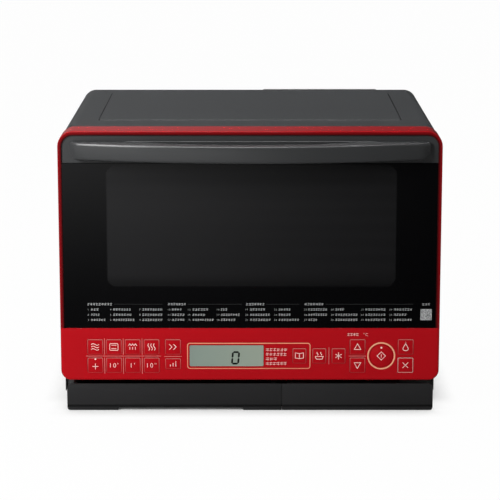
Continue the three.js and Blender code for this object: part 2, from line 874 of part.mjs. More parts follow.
// Hinge bracket: foot behind the cavity's flange, arm forward into the door, pin at its end
function hingeBracket() {
  const right = halfWidth - hingeArmInset;
  const left = right - hingeArmWall;
  const footFront = panFront;
  const arm = block(left, right, hingeY, footFront + hingeFootWall,
    hingeZ - hingeArmRadius, hingeZ + hingeArmRadius);
  const eye = rodX(hingeArmRadius, left, right, hingeY, hingeZ, roundSides);
  const pinEnd = halfWidth - doorWall - seam;
  const pin = rodX(hingePinRadius, left, pinEnd, hingeY, hingeZ, roundSides);
  const footLeft = (left + right - hingeFootWidth) / 2;
  const foot = block(footLeft, footLeft + hingeFootWidth, footFront, footFront + hingeFootWall,
    hingeZ - hingeFootDrop, hingeZ + hingeFootRise);
  return join(arm, eye, pin, foot);
}

// Raised rectangle pressed into the top of the cabinet
function emboss(drop) {
  const halfX = halfWidth - embossSideGap;
  const front = doorFront + embossFront;
  const outline = roundedRect(-halfX, halfX, front, bodyBack - embossRearGap, embossRadius);
  const geometry = new THREE.ExtrudeGeometry(outline, {
    depth: cabinetSheet,
    steps: 1,
    curveSegments: 2,
    bevelEnabled: true,
    bevelThickness: embossHeight,
    bevelSize: embossSlope,
    bevelOffset: -embossSlope,
    bevelSegments: 1,
  });
  return solid(geometry.translate(0, 0, cabinetTop - cabinetSheet - drop));
}

// Folded outer cabinet: top and both sides in one sheet
function outerCabinet() {
  const inner = cabinetHalf - cabinetSheet;
  const shape = new THREE.Shape();
  shape.moveTo(cabinetHalf, footHeight);
  const high = cabinetTop - cabinetRadius;
  shape.absarc(cabinetHalf - cabinetRadius, high, cabinetRadius, 0, quarter, false);
  shape.absarc(cabinetRadius - cabinetHalf, high, cabinetRadius, quarter, 2 * quarter, false);
  shape.lineTo(-cabinetHalf, footHeight);
  shape.lineTo(-inner, footHeight);
  const bend = cabinetRadius - cabinetSheet;
  shape.absarc(cabinetRadius - cabinetHalf, high, bend, 2 * quarter, quarter, true);
  shape.absarc(cabinetHalf - cabinetRadius, high, bend, quarter, 0, true);
  shape.lineTo(inner, footHeight);
  const folded = facing(shape, bodyFront, bodyBack, 0, shellArcSteps);
  return cut(folded.add(emboss(0)), emboss(cabinetSheet));
}

// Columns of ventilation slots round a middle: left, right, lower and upper edge of each
function slotGrid(centreX, centreZ, columns, rows) {
  const slots = [];
  for (let column = 0; column < columns; column += 1) {
    for (let row = 0; row < rows; row += 1) {
      const x = centreX + (column - (columns - 1) / 2) * slotColumnPitch;
      const z = centreZ + (row - (rows - 1) / 2) * slotPitch;
      slots.push([x - slotLength / 2, x + slotLength / 2, z - slotWidth / 2, z + slotWidth / 2]);
    }
  }
  return slots;
}

// Rear cover: vents over the cooling fan, exhaust duct at the top, hole for the cord gland
function rearCover() {
  const half = cabinetHalf - cabinetSheet - seam;
  const top = cabinetTop - cabinetSheet - seam;
  const radius = cabinetRadius - cabinetSheet - seam;
  const outline = roundedRect(-half, half, footHeight, top, 0, radius);
  const plate = facing(outline, bodyBack - cabinetSheet, bodyBack);
  const intake = slotGrid(fanX, fanRise, 2, intakeRows).map(([left, right, low, high]) =>
    block(left, right, bodyBack - overrun, bodyBack + overrun, low, high));
  const gland = rodY(glandNeckRadius + seam, bodyBack - overrun, bodyBack + overrun, glandX,
    glandRise, roundSides);
  const ductTop = height - ductTopDrop;
  const ductCentre = halfWidth * ductXShare;
  const ductHalf = (halfWidth * ductWidthShare) / 2;
  const ductLeft = ductCentre - ductHalf;
  const ductRight = ductCentre + ductHalf;
  const ductLow = ductTop - ductHeight;
  const shellOutline = roundedRect(ductLeft, ductRight, ductLow, ductTop, ductEdge);
  const shell = facing(shellOutline, bodyBack + seam, bodyBack + ductDepth, 0, cornerSteps);
  const wall = cabinetSheet;
  const collar = block(ductLeft + ductEdge, ductRight - ductEdge, bodyBack - wall / 2,
    bodyBack + ductDepth / 2, ductLow + wall / 2, top);
  const room = block(ductLeft + wall, ductRight - wall, bodyBack - overrun,
    bodyBack + ductDepth - wall, ductLow + wall, top - wall);
  const vents = slotGrid(ductCentre, ductLow + ductHeight / 2, 3, ductRows).map(
    ([left, right, low, high]) =>
      block(left, right, bodyBack, bodyBack + ductDepth + overrun, low, high));
  return cut(join(plate, shell, collar), room, gland, ...intake, ...vents);
}

// Tunnel in the base for a drawer: roof, two walls, an end and a ledge under each lip
function tunnel(left, right, back) {
  const inLeft = left - lipWidth - lipGap;
  const inRight = right + lipWidth + lipGap;
  const end = doorFront + back + drawerEndGap;
  const shell = block(inLeft - sheetWall, inRight + sheetWall, panFront, end + sheetWall,
    footHeight, tunnelRoof + sheetWall);
  const room = block(inLeft, inRight, panFront - overrun, end, footHeight - overrun, tunnelRoof);
  const ledgeTop = lipTop - lipWall - seam;
  const ledgeLeft = block(inLeft - sheetWall / 2, inLeft + ledgeWidth, panFront, end,
    ledgeTop - ledgeWall, ledgeTop);
  const ledgeRight = block(inRight - ledgeWidth, inRight + sheetWall / 2, panFront, end,
    ledgeTop - ledgeWall, ledgeTop);
  return { shell, room, ledgeLeft, ledgeRight };
}

// Base pan with upturned edges, the tunnels of tray and tank, and vents in its floor
function basePan() {
  const half = cabinetHalf - cabinetSheet - seam;
  const top = footHeight + panWallHeight;
  const outside = lying(roundedRect(-half, half, panFront, panBack, panRadius), footHeight, top);
  const inside = lying(
    roundedRect(-half + sheetWall, half - sheetWall, panFront + sheetWall, panBack - sheetWall,
      panRadius - sheetWall),
    footHeight + sheetWall, top + overrun);
  const tray = tunnel(trayBodyLeft, trayBodyRight, trayBack);
  const tank = tunnel(tankBodyLeft, tankBodyRight, tankBack);
  const shell = join(cut(outside, inside), tray.shell, tank.shell);
  const open = cut(shell, tray.room, tank.room);
  const ventY = bodyBack - slotColumnPitch * 2;
  const vents = slotGrid(slotColumnPitch, ventY, 2, baseRows).map(([left, right, front, rear]) =>
    block(left, right, front, rear, footHeight - overrun, footHeight + overrun));
  const vented = cut(open, ...vents);
  return join(vented, tray.ledgeLeft, tray.ledgeRight, tank.ledgeLeft, tank.ledgeRight);
}

// Moulded foot with a rounded sole
function foot(x, y) {
  const top = footHeight - seam;
  const sole = footRadius * footSoleShare;
  const profile = [
    [0, 0], [footRadius - sole, 0], [footRadius, sole], [footRadius * footTopShare, top], [0, top],
  ].map(([radius, z]) => new THREE.Vector2(radius, z));
  const geometry = new THREE.LatheGeometry(profile, footSides);
  return solid(geometry.rotateX(quarter).translate(x, y, 0));
}

// Front of a drawer: bar under the door with a lower band; outer corners are rounded
function drawerFront(left, right, roundLeft) {
  const shape = new THREE.Shape();
  const inner = splitGap;
  const low = roundLeft ? [barBottomRadius, inner] : [inner, barBottomRadius];
  const high = roundLeft ? [barTopRadius, inner] : [inner, barTopRadius];
  shape.moveTo(left + low[0], barBottom);
  shape.absarc(right - low[1], barBottom + low[1], low[1], -quarter, 0, false);
  shape.absarc(right - high[1], barTop - high[1], high[1], 0, quarter, false);
  shape.absarc(left + high[0], barTop - high[0], high[0], quarter, 2 * quarter, false);
  shape.absarc(left + low[0], barBottom + low[0], low[0], 2 * quarter, 3 * quarter, false);
  const plate = facing(shape, barFront, barFront + barWall);
  const band = block(left - overrun, right + overrun, barFront - overrun, barFront + bandStep,
    barBottom - overrun, barBottom + bandHeight);
  return cut(plate, band);
}

// Drawer box behind its front, with a lip along both sides that rides on the ledges
function drawerBox(left, right, back) {
  const front = barFront + barWall / 2;
  const end = doorFront + back;
  const outline = roundedRect(left, right, front, end, drawerRadius);
  const box = lying(outline, drawerFloor, lipTop, 0, cornerSteps);
  const lipFront = front + drawerRadius + lipWidth;
  const lips = block(left - lipWidth, right + lipWidth, lipFront, end - drawerRadius,
    lipTop - lipWall, lipTop);
  return join(box, lips);
}

function drawerRoom(left, right, back, top) {
  const front = barFront + barWall + drawerWall;
  const end = doorFront + back - drawerWall;
  return lying(
    roundedRect(left + drawerWall, right - drawerWall, front, end, drawerRadius - drawerWall),
    drawerFloor + drawerWall, top, 0, cornerSteps);
}

// Drip tray: open trough, with a finger notch in the lower edge of its front
function dripTray() {
  const left = -halfWidth + barInset;
  const face = drawerFront(left, splitX - splitGap / 2, true);
  const notchCentre = halfWidth * notchXShare;
  const halfNotch = (halfWidth * notchWidthShare) / 2;
  const notch = facing(
    roundedRect(notchCentre - halfNotch, notchCentre + halfNotch, barBottom - overrun,
      barBottom + notchHeight, notchHeight / 2),
    barFront - overrun, barFront + barWall + overrun, 0, cornerSteps);
  const box = drawerBox(trayBodyLeft, trayBodyRight, trayBack);
  const room = drawerRoom(trayBodyLeft, trayBodyRight, trayBack, lipTop + overrun);
  return cut(join(cut(face, notch), box), room);
}

// Water tank: closed box with a filling mouth in its top
function waterTank() {
  const right = halfWidth - barInset;
  const face = drawerFront(splitX + splitGap / 2, right, false);
  const box = drawerBox(tankBodyLeft, tankBodyRight, tankBack);
  const room = drawerRoom(tankBodyLeft, tankBodyRight, tankBack, lipTop - lipWall);
  const mouthFront = barFront + barWall + tankMouthInset;
  const mouth = lying(
    roundedRect(tankCentre - tankMouthWidth / 2, tankCentre + tankMouthWidth / 2, mouthFront,
      mouthFront + tankMouthLength, drawerRadius),
    lipTop - lipWall - overrun, lipTop + overrun, 0, cornerSteps);
  return cut(join(face, box), room, mouth);
}

// Shelf rail pressed into a side wall, at a share of the cavity's height
function shelfRail(share) {
  const wall = cavityHalf;
  const z = cavityFloor + share * (ceiling - cavityFloor);
  const profile = polygon([
    [wall + linerWall / 2, z - railHeight / 2],
    [wall + linerWall / 2, z + railHeight / 2],
    [wall, z + railHeight / 2],
    [wall - railWall, z + railHeight / 6],
    [wall - railWall, z - railHeight / 6],
    [wall, z - railHeight / 2],
  ]);
  return facing(profile, bodyFront + railMargin, linerBack - railMargin);
}

// Air slots in the cavity's back wall: a round group for the inlet, a column at each side
function airSlots() {
  const slots = [];
  const reach = Math.floor(inletRadius / inletPitch);
  for (let index = -reach; index <= reach; index += 1) {
    const x = index * inletPitch;
    const halfZ = Math.sqrt(inletRadius ** 2 - x ** 2);
    const halfX = outletWidth / 2;
    slots.push(block(x - halfX, x + halfX, linerBack - overrun, linerBack + overrun,
      hotFanZ - halfZ, hotFanZ + halfZ));
  }
  for (const side of [-1, 1]) {
    for (let row = 0; row < outletRows; row += 1) {
      const x = side * (cavityHalf - outletInset);
      const z = hotFanZ + (row - (outletRows - 1) / 2) * outletPitch;
      const halfX = outletLength / 2;
      const halfZ = outletWidth / 2;
      slots.push(block(x - halfX, x + halfX, linerBack - overrun, linerBack + overrun,
        z - halfZ, z + halfZ));
    }
  }
  return slots;
}

// Where the three weight sensors reach the table plate
function sensorPlaces() {
  const x = cavityHalf - wellMarginX / 2;
  const front = bodyFront + sensorEdgeInset;
  const back = linerBack - wellMarginY / 2;
  return { left: [-x, front], right: [x, front], rear: [0, back] };
}

function lampPlace() {
  return { y: bodyFront + lampBack, z: ceiling - lampDrop };
}

function boilerPlace() {
  return { y: bodyFront + boilerBack, z: ceiling - boilerDrop };
}

// Enamelled cavity with its front flange, the well in its floor and its shelf rails
function cavityLiner() {
  const half = cavityHalf;
  const tubOutline = roundedRect(-half - linerWall, half + linerWall, cavityFloor - linerWall,
    ceiling + linerWall, cavityFloorRadius + linerWall, cavityRadius + linerWall);
  const tub = facing(tubOutline, bodyFront, linerBack + linerWall);
  const roomOutline = roundedRect(-half, half, cavityFloor, ceiling, cavityFloorRadius, cavityRadius);
  const room = facing(roomOutline, bodyFront - overrun, linerBack);
  const flangeInset = cabinetInset + cabinetSheet + seam;
  const flangeHalf = halfWidth - flangeInset;
  const flangeTop = cabinetTop - cabinetSheet - seam;
  const flangeRadius = cabinetRadius - cabinetSheet - seam;
  const flange = facing(
    roundedRect(-flangeHalf, flangeHalf, flangeBottom, flangeTop, 0, flangeRadius),
    bodyFront, bodyFront + linerWall);
  const wellX = cavityHalf - wellMarginX;
  const wellY = wellHalfY;
  const wellShell = lying(
    roundedRect(-wellX - linerWall, wellX + linerWall, cavityMiddle - wellY - linerWall,
      cavityMiddle + wellY + linerWall, wellRadius + linerWall),
    wellFloor - linerWall, cavityFloor - linerWall / 2);
  const wellRoom = lying(
    roundedRect(-wellX, wellX, cavityMiddle - wellY, cavityMiddle + wellY, wellRadius),
    wellFloor, cavityFloor + overrun);
  const rails = railLevelShares.flatMap((share) => [shelfRail(share), mirrored(shelfRail(share))]);
  const shell = join(cut(join(tub, flange, wellShell), room, wellRoom), ...rails);
  return cut(shell, ...linerHoles());
}

// Every hole in the cavity: feed, sensors, latches, hinge arms, lamp, steam and air
function linerHoles() {
  const bottom = wellFloor - overrun;
  const feed = rodZ(feedHoleRadius, bottom, wellFloor + overrun / 2, 0, cavityMiddle, roundSides);
  const pins = Object.values(sensorPlaces()).map(([x, y]) =>
    rodZ(sensorPinRadius + sensorPinGap, cavityFloor - overrun, cavityFloor + overrun, x, y));
  const back = bodyFront + linerWall + overrun;
  const latch = latchSlotCut(bodyFront - overrun, back);
  const armRight = halfWidth - hingeArmInset + seam;
  const armLeft = halfWidth - hingeArmInset - hingeArmWall - seam;
  const armHalf = hingeArmRadius + seam;
  const arm = block(armLeft, armRight, bodyFront - overrun, back, hingeZ - armHalf, hingeZ + armHalf);
  const lamp = lampPlace();
  const boiler = boilerPlace();
  const wall = -cavityHalf;
  const lampHole = rodX(lampHoleRadius, wall - overrun, wall + overrun, lamp.y, lamp.z, roundSides);
  const steamHole = rodX(spoutRadius + seam, wall - overrun, wall + overrun, boiler.y, boiler.z);
  const sides = [latch, mirrored(latch), arm, mirrored(arm)];
  return [feed, ...pins, ...sides, lampHole, steamHole, ...airSlots()];
}

// Flat ceramic plate that covers the antenna and carries the food
function tablePlate() {
  const half = cavityHalf - plateGap;
  const bottom = cavityFloor + seam;
  const outline = roundedRect(-half, half, bodyFront + plateGap, linerBack - plateGap, plateRadius);
  return lying(outline, bottom, bottom + plateWall, plateEdge, cornerSteps);
}

// Load cell under the cavity's floor, with the pin that feels the table plate
function weightSensor([x, y], turned) {
  const top = cavityFloor - linerWall - seam;
  const halfX = (turned ? sensorWidth : sensorLength) / 2;
  const halfY = (turned ? sensorLength : sensorWidth) / 2;
  const centreY = turned ? y + (sensorLength - sensorWidth) / 2 : y;
  const body = block(x - halfX, x + halfX, centreY - halfY, centreY + halfY, top - sensorHeight, top);
  const pin = rodZ(sensorPinRadius, top - sensorHeight / 2, cavityFloor, x, y);
  return join(body, pin);
}

// Rotating antenna: slotted disc on a hub and a long shaft down to its motor
function antenna() {
  const bottom = wellFloor + antennaRise;
  const disc = rodZ(antennaRadius, bottom, bottom + antennaWall, 0, cavityMiddle, roundSides);
  const hub = rodZ(antennaHubRadius, bottom - antennaRise / 2, bottom + antennaRise / 2 + antennaWall,
    0, cavityMiddle, roundSides);
  const shaft = rodZ(antennaShaftRadius, guideBottom, bottom + antennaWall / 2, 0, cavityMiddle);
  const slotCentre = antennaRadius * antennaSlotCentreShare;
  const halfSlot = (antennaRadius * antennaSlotWidthShare) / 2;
  const slotReach = (antennaRadius * antennaSlotLengthShare) / 2;
  const slots = [];
  for (let index = 0; index < antennaSlotCount; index += 1) {
    const outline = roundedRect(slotCentre - halfSlot, slotCentre + halfSlot, -slotReach, slotReach,
      halfSlot / 2);
    const slot = lying(outline, bottom - overrun, bottom + overrun, 0, cornerSteps);
    const turn = (index * 360) / antennaSlotCount;
    slots.push(slot.rotate([0, 0, turn]).translate([0, cavityMiddle, 0]));
  }
  return join(cut(disc, ...slots), hub, shaft);
}

// Flat geared motor under the waveguide, with two ears for its screws
function antennaMotor() {
  const top = guideBottom - seam;
  const can = rodZ(motorRadius, top - motorHeight, top, 0, cavityMiddle, roundSides);
  const reach = motorRadius + motorEar;
  const ears = lying(
    roundedRect(-reach, reach, cavityMiddle - motorEar, cavityMiddle + motorEar, motorEar / 2),
    top - boardWall, top);
  return join(can, ears);
}

// Waveguide: rectangular tube from the magnetron to the feed hole
function waveguide() {
  const front = cavityMiddle - guideWidth / 2;
  const back = cavityMiddle + guideWidth / 2;
  const tube = block(guideLeft, guideRight, front, back, guideBottom, guideTop);
  const room = block(guideLeft + sheetWall, guideRight + overrun, front + sheetWall,
    back - sheetWall, guideBottom + sheetWall, guideTop - sheetWall);
  const feed = rodZ(feedHoleRadius, guideTop - overrun, guideTop + overrun, 0, cavityMiddle, roundSides);
  const bearing = rodZ(antennaShaftRadius + seam, guideBottom - overrun, guideBottom + overrun,
    0, cavityMiddle);
  return cut(tube, room, feed, bearing);
}

// Magnetron: cooling fins between the plates of its yoke, and the dome in the waveguide
function magnetron() {
  const left = guideRight + seam;
  const right = left + magnetronDepth;
  const front = cavityMiddle - magnetronWidth / 2;
  const back = front + magnetronWidth;
  const centreZ = (guideBottom + guideTop) / 2;
  const bottom = centreZ - magnetronHeight / 2;
  const top = bottom + magnetronHeight;
  const yoke = cut(
    block(left, right, front, back, bottom, top),
    block(left + magnetronYokeWall, right - magnetronYokeWall, front - overrun, back + overrun,
      bottom + magnetronYokeWall, top - magnetronYokeWall));
  const core = rodX(magnetronCoreRadius, left + magnetronYokeWall / 2, right - magnetronYokeWall / 2,
    cavityMiddle, centreZ);
  const pitch = magnetronDepth / (magnetronFinCount + 1);
  const fins = [];
  for (let index = 1; index <= magnetronFinCount; index += 1) {
    const x = left + index * pitch;
    fins.push(block(x - magnetronFinWall / 2, x + magnetronFinWall / 2, front, back,
      bottom + magnetronYokeWall / 2, top - magnetronYokeWall / 2));
  }
  const dome = rodX(magnetronDomeRadius, left - magnetronDomeLength, left + magnetronYokeWall / 2,
    cavityMiddle, centreZ, roundSides);
  return join(yoke, core, dome, ...fins);
}

// Inverter board on four stands: transformer, finned heat sink and capacitors
function inverterBoard() {
  const front = doorFront + inverterFront;
  const back = front + inverterLength;
  const left = -halfWidth + inverterInset;
  const right = left + inverterWidth;
  const floor = footHeight + sheetWall + seam;
  const low = floor + inverterStand;
  const top = low + boardWall;
  const board = block(left, right, front, back, low, top);
  const inset = standRadius * 2;
  const stands = [left + inset, right - inset].flatMap((x) =>
    [front + inset, back - inset].map((y) =>
      rodZ(standRadius, floor, low + boardWall / 2, x, y, tubeSides)));
  const coilLeft = left + inset;
  const coilFront = front + inset * 2;
  const transformer = lying(
    roundedRect(coilLeft, coilLeft + transformerWidth, coilFront, coilFront + transformerLength, inset / 2),
    low + boardWall / 2, top + transformerHeight, 0, cornerSteps);
  const sinkLeft = right - inset - sinkFinPitch * sinkFinCount;
  const fins = [];
  for (let index = 0; index < sinkFinCount; index += 1) {
    const x = sinkLeft + index * sinkFinPitch;
    fins.push(block(x, x + sinkFinWall, coilFront, coilFront + sinkFinLength, low + boardWall / 2,
      top + sinkFinHeight));
  }
  const cans = [0, 1, 2].map((index) => rodZ(capacitorRadius, low + boardWall / 2,
    top + capacitorHeight, coilLeft + capacitorRadius + index * capPitch,
    back - inset * 2 - capacitorRadius));
  return join(board, ...stands, transformer, ...fins, ...cans);
}

// Square frame of the cooling fan with its motor hub on three struts
function fanHousing() {
  const back = fanBack;
  const front = back - fanFrameDepth;
  const half = fanFrameSize / 2;
  const outline = roundedRect(fanX - half, fanX + half, fanRise - half, fanRise + half, half / 8);
  const frame = facing(outline, front, back, 0, cornerSteps);
  const bore = rodY(fanBoreRadius, front - overrun, back + overrun, fanX, fanRise, roundSides);
  const hub = rodY(fanHubRadius, front, front + fanStrutWall, fanX, fanRise, roundSides);
  const struts = [0, 1, 2].map((index) => {
    const arm = block(0, fanBoreRadius + fanStrutWall / 2, front, front + fanStrutWall,
      -fanStrutWidth / 2, fanStrutWidth / 2);
    return arm.rotate([0, index * 120 + 90, 0]).translate([fanX, 0, fanRise]);
  });
  const spindle = rodY(fanSpindleRadius, front + fanStrutWall / 2, back - fanStrutWall, fanX, fanRise);
  return join(cut(frame, bore), hub, ...struts, spindle);
}

// Rotor of the cooling fan: hub and pitched blades trimmed to the bore
function coolingFan() {
  const front = fanBack - fanFrameDepth + fanStrutWall + seam;
  const back = front + fanHubDepth;
  const middle = (front + back) / 2;
  const hub = rodY(fanHubRadius, front, back, 0, 0, roundSides);
  const blades = [];
  for (let index = 0; index < fanBladeCount; index += 1) {
    const blade = block(fanHubRadius / 2, fanRotorRadius + overrun, -fanBladeWall / 2, fanBladeWall / 2,
      -fanBladeWidth / 2, fanBladeWidth / 2);
    const pitched = blade.rotate([(fanBladePitch * 180) / Math.PI, 0, 0]).translate([0, middle, 0]);
    blades.push(pitched.rotate([0, (index * 360) / fanBladeCount, 0]));
  }
  const sweep = rodY(fanRotorRadius, front, back, 0, 0, roundSides);
  const rotor = join(hub, ...blades).intersect(sweep);
  const bore = rodY(fanSpindleBore, front - overrun, back + overrun, 0, 0);
  return cut(rotor, bore).translate([fanX, 0, fanRise]);
}

// Hot air casing behind the cavity: shallow pressed pan with a rim and a shaft hole
function convectionCasing() {
  const front = linerBack + linerWall + seam;
  const half = cavityHalf - casingSideGap;
  const low = casingBottom;
  const high = casingTop;
  const pan = facing(roundedRect(-half, half, low, high, casingRadius), front, casingBack);
  const rim = facing(
    roundedRect(-half - casingRim, half + casingRim, low - casingRim, high + casingRim,
      casingRadius + casingRim),
    front, front + sheetWall);
  const room = facing(
    roundedRect(-half + sheetWall, half - sheetWall, low + sheetWall, high - sheetWall,
      casingRadius - sheetWall),
    front - overrun, casingBack - sheetWall);
  const shaftHole = rodY(shaftHoleRadius, casingBack - overrun, casingBack + overrun, 0, hotFanZ);
  const terminals = [-1, 1].map((side) => rodY(heaterTubeRadius + seam, casingBack - overrun,
    casingBack + overrun, side * heaterTerminalGap, hotFanZ - heaterRingRadius, tubeSides));
  return cut(join(pan, rim), room, shaftHole, ...terminals);
}

// One curved vane of the hot air fan, standing on its disc
function hotFanVane(front, back) {
  const tip = hotFanRadius - hotFanBladeMargin;
  const outer = [];
  const inner = [];
  for (let index = 0; index <= vaneSteps; index += 1) {
    const share = index / vaneSteps;
    const radius = hotFanBladeInner + share * (tip - hotFanBladeInner);
    const turn = hotFanSweep * share ** hotFanCurve;
    const lean = hotFanWall / radius;
    outer.push([radius * Math.cos(turn + lean), radius * Math.sin(turn + lean)]);
    inner.unshift([radius * Math.cos(turn - lean), radius * Math.sin(turn - lean)]);
  }
  return facing(polygon([...outer, ...inner]), front, back);
}

// Hot air fan: disc, hub and backward-curved vanes
function convectionFan() {
  const back = casingBack - sheetWall - hotFanBackGap;
  const front = back - hotFanDepth;
  const disc = rodY(hotFanRadius, back - hotFanWall, back, 0, 0, discSides);
  const hub = rodY(hotFanHubRadius, front + hotFanDepth / 2, back, 0, 0, smallSides);
  const vanes = [];
  for (let index = 0; index < hotFanBladeCount; index += 1) {
    const vane = hotFanVane(front, back - hotFanWall / 2);
    vanes.push(vane.rotate([0, (index * 360) / hotFanBladeCount, 0]));
  }
  const bore = rodY(hotFanBoreRadius, front - overrun, back + overrun, 0, 0);
  return cut(join(disc, hub, ...vanes), bore).translate([0, 0, hotFanZ]);
}

// Motor of the hot air fan, behind the casing, with its shaft through to the hub
function convectionMotor() {
  const front = casingBack + seam;
  const can = rodY(hotMotorRadius, front, front + hotMotorDepth, 0, hotFanZ, roundSides);
  const shaft = rodY(hotShaftRadius, front - hotShaftLength, front + hotMotorDepth / 2, 0, hotFanZ);
  const ears = facing(
    roundedRect(-hotMotorRadius - hotMotorEar, hotMotorRadius + hotMotorEar, hotFanZ - motorEar,
      hotFanZ + motorEar, motorEar / 2),
    front, front + boardWall);
  return join(can, shaft, ears);
}

// Ring heater round the hot air fan, with two terminals out through the casing
function convectionHeater() {
  const back = casingBack - sheetWall - hotFanBackGap;
  const y = back - hotFanDepth / 2;
  const ring = new THREE.TorusGeometry(heaterRingRadius, heaterTubeRadius, tubeSides, roundSides);
  const tube = solid(ring.rotateX(quarter).translate(0, y, hotFanZ));
  const terminals = [-1, 1].map((side) => rodY(heaterTubeRadius, y, y + heaterTerminalLength,
    side * heaterTerminalGap, hotFanZ - heaterRingRadius, tubeSides));
  return join(tube, ...terminals);
}

// Flat grill heater over the ceiling: plate with ribs
function grillHeater() {
  const bottom = ceiling + linerWall + seam;
  const halfX = cavityHalf - grillSideGap;
  const halfY = linerBack - cavityMiddle - grillEndGap;
  const outline = roundedRect(-halfX, halfX, cavityMiddle - halfY, cavityMiddle + halfY, grillRibWidth);
  const plate = lying(outline, bottom, bottom + grillWall, 0, cornerSteps);
  const pitch = (2 * halfX) / grillRibCount;
  const halfRib = halfY - grillRibInset;
  const ribs = [];
  for (let index = 0; index < grillRibCount; index += 1) {
    const x = (index - (grillRibCount - 1) / 2) * pitch;
    ribs.push(block(x - grillRibWidth / 2, x + grillRibWidth / 2, cavityMiddle - halfRib,
      cavityMiddle + halfRib, bottom + grillWall / 2, bottom + grillWall + grillRibWall));
  }
  return join(plate, ...ribs);
}

// Cast steam boiler on the cavity's side, with its spout through the wall
function steamBoiler() {
  const { y, z } = boilerPlace();
  const right = -cavityHalf - linerWall - seam;
  const left = right - boilerWidth;
  const halfY = boilerLength / 2;
  const halfZ = boilerHeight / 2;
  const outline = roundedRect(y - halfY, y + halfY, z - halfZ, z + halfZ, boilerRadius);
  const body = sideways(outline, left + boilerRibWall, right, 0, cornerSteps);
  const pitch = boilerLength / boilerRibCount;
  const halfRib = halfZ - boilerRibInset;
  const ribs = [];
  for (let index = 0; index < boilerRibCount; index += 1) {
    const centre = y + (index - (boilerRibCount - 1) / 2) * pitch;
    ribs.push(block(left, left + boilerRibWall * 2, centre - boilerRibWall, centre + boilerRibWall,
      z - halfRib, z + halfRib));
  }
  const spout = rodX(spoutRadius, right - spoutLength, right + spoutLength, y, z);
  return join(body, spout, ...ribs);
}

// Water pump on the base, behind the tank
function waterPump() {
  const front = doorFront + tankBack + pumpBehindTank;
  const pumpX = tankCentre - pumpOffset;
  const floor = footHeight + sheetWall + seam;
  const z = floor + pumpFootWall + pumpRadius;
  const body = rodY(pumpRadius, front, front + pumpLength, pumpX, z, roundSides);
  const nozzle = rodY(pumpNozzleRadius, front - pumpNozzleRadius * 3, front + pumpLength / 2, pumpX,
    z - pumpRadius / 2);
  const plate = block(pumpX - pumpFootWidth / 2, pumpX + pumpFootWidth / 2, front,
    front + pumpLength, floor, floor + pumpFootWall);
  const web = block(pumpX - pumpRadius / 2, pumpX + pumpRadius / 2, front + pumpLength / 8,
    front + pumpLength - pumpLength / 8, floor, z);
  return join(body, nozzle, plate, web);
}

// Lamp housing outside the cavity's wall, with its lens in the hole
function ovenLamp() {
  const { y, z } = lampPlace();
  const right = -cavityHalf - linerWall - seam;
  const half = lampSize / 2;
  const box = sideways(roundedRect(y - half, y + half, z - half, z + half, half / 4),
    right - lampDepth, right, 0, cornerSteps);
  const lens = rodX(lampHoleRadius - seam, right - lampGlassDepth, right + lampGlassDepth / 2, y, z,
    roundSides);
  return join(box, lens);
}

// Interlock switches on a plate behind the right latch slot
function switchBracket() {
  const right = halfWidth - bracketInset + bracketWall;
  const left = right - bracketWall;
  const low = latchZ - bracketHeight / 2;
  const plate = block(left, right, panFront, panFront + bracketDepth, low, low + bracketHeight);
  const tabLeft = left - bracketSwitchWall;
  const switches = [-1, 0, 1].map((index) => {
    const z = latchZ + index * bracketSwitchPitch;
    const half = bracketSwitchHeight / 2;
    return block(tabLeft, right, panFront + bracketDepth - bracketSwitchDepth,
      panFront + bracketDepth, z - half, z + half);
  });
  return join(plate, ...switches);
}

// Strain relief bush in the rear cover, with an open bore
function cordGland() {
  const inside = bodyBack - cabinetSheet;
  const neck = rodY(glandNeckRadius, inside - glandTail, bodyBack + glandCollarWall / 2, glandX,
    glandRise, roundSides);
  const collarFront = bodyBack + seam;
  const collar = rodY(glandCollarRadius, collarFront, collarFront + glandCollarWall, glandX,
    glandRise, roundSides);
  const collarBack = collarFront + glandCollarWall;
  const bore = rodY(glandBore, inside - glandTail - overrun, collarBack + overrun, glandX,
    glandRise);
  return cut(join(neck, collar), bore);
}

// Assembly: fixed body first, then what the door carries, then drawers and loose pieces
const oven = new THREE.Group();
const body = new THREE.Group();
const door = new THREE.Group();
const moving = new THREE.Group();
oven.add(body, door, moving);

body.add(
  piece('outer_cabinet', outerCabinet(), darkPaint),
  piece('rear_cover', rearCover(), darkSteel),
  piece('base_pan', basePan(), zincSteel),
  piece('cavity_liner', cavityLiner(), cavityEnamel),
);

const footX = halfWidth - footInsetX;
const frontFootY = doorFront + trayBack + footBehindTray;
const rearFootY = bodyBack - footInsetBack;
const footPlaces = {
  foot_front_left: [-footX, frontFootY],
  foot_front_right: [footX, frontFootY],
  foot_rear_left: [-footX, rearFootY],
  foot_rear_right: [footX, rearFootY],
};
for (const [name, [x, y]] of Object.entries(footPlaces)) {
  body.add(piece(name, foot(x, y), rubber));
}

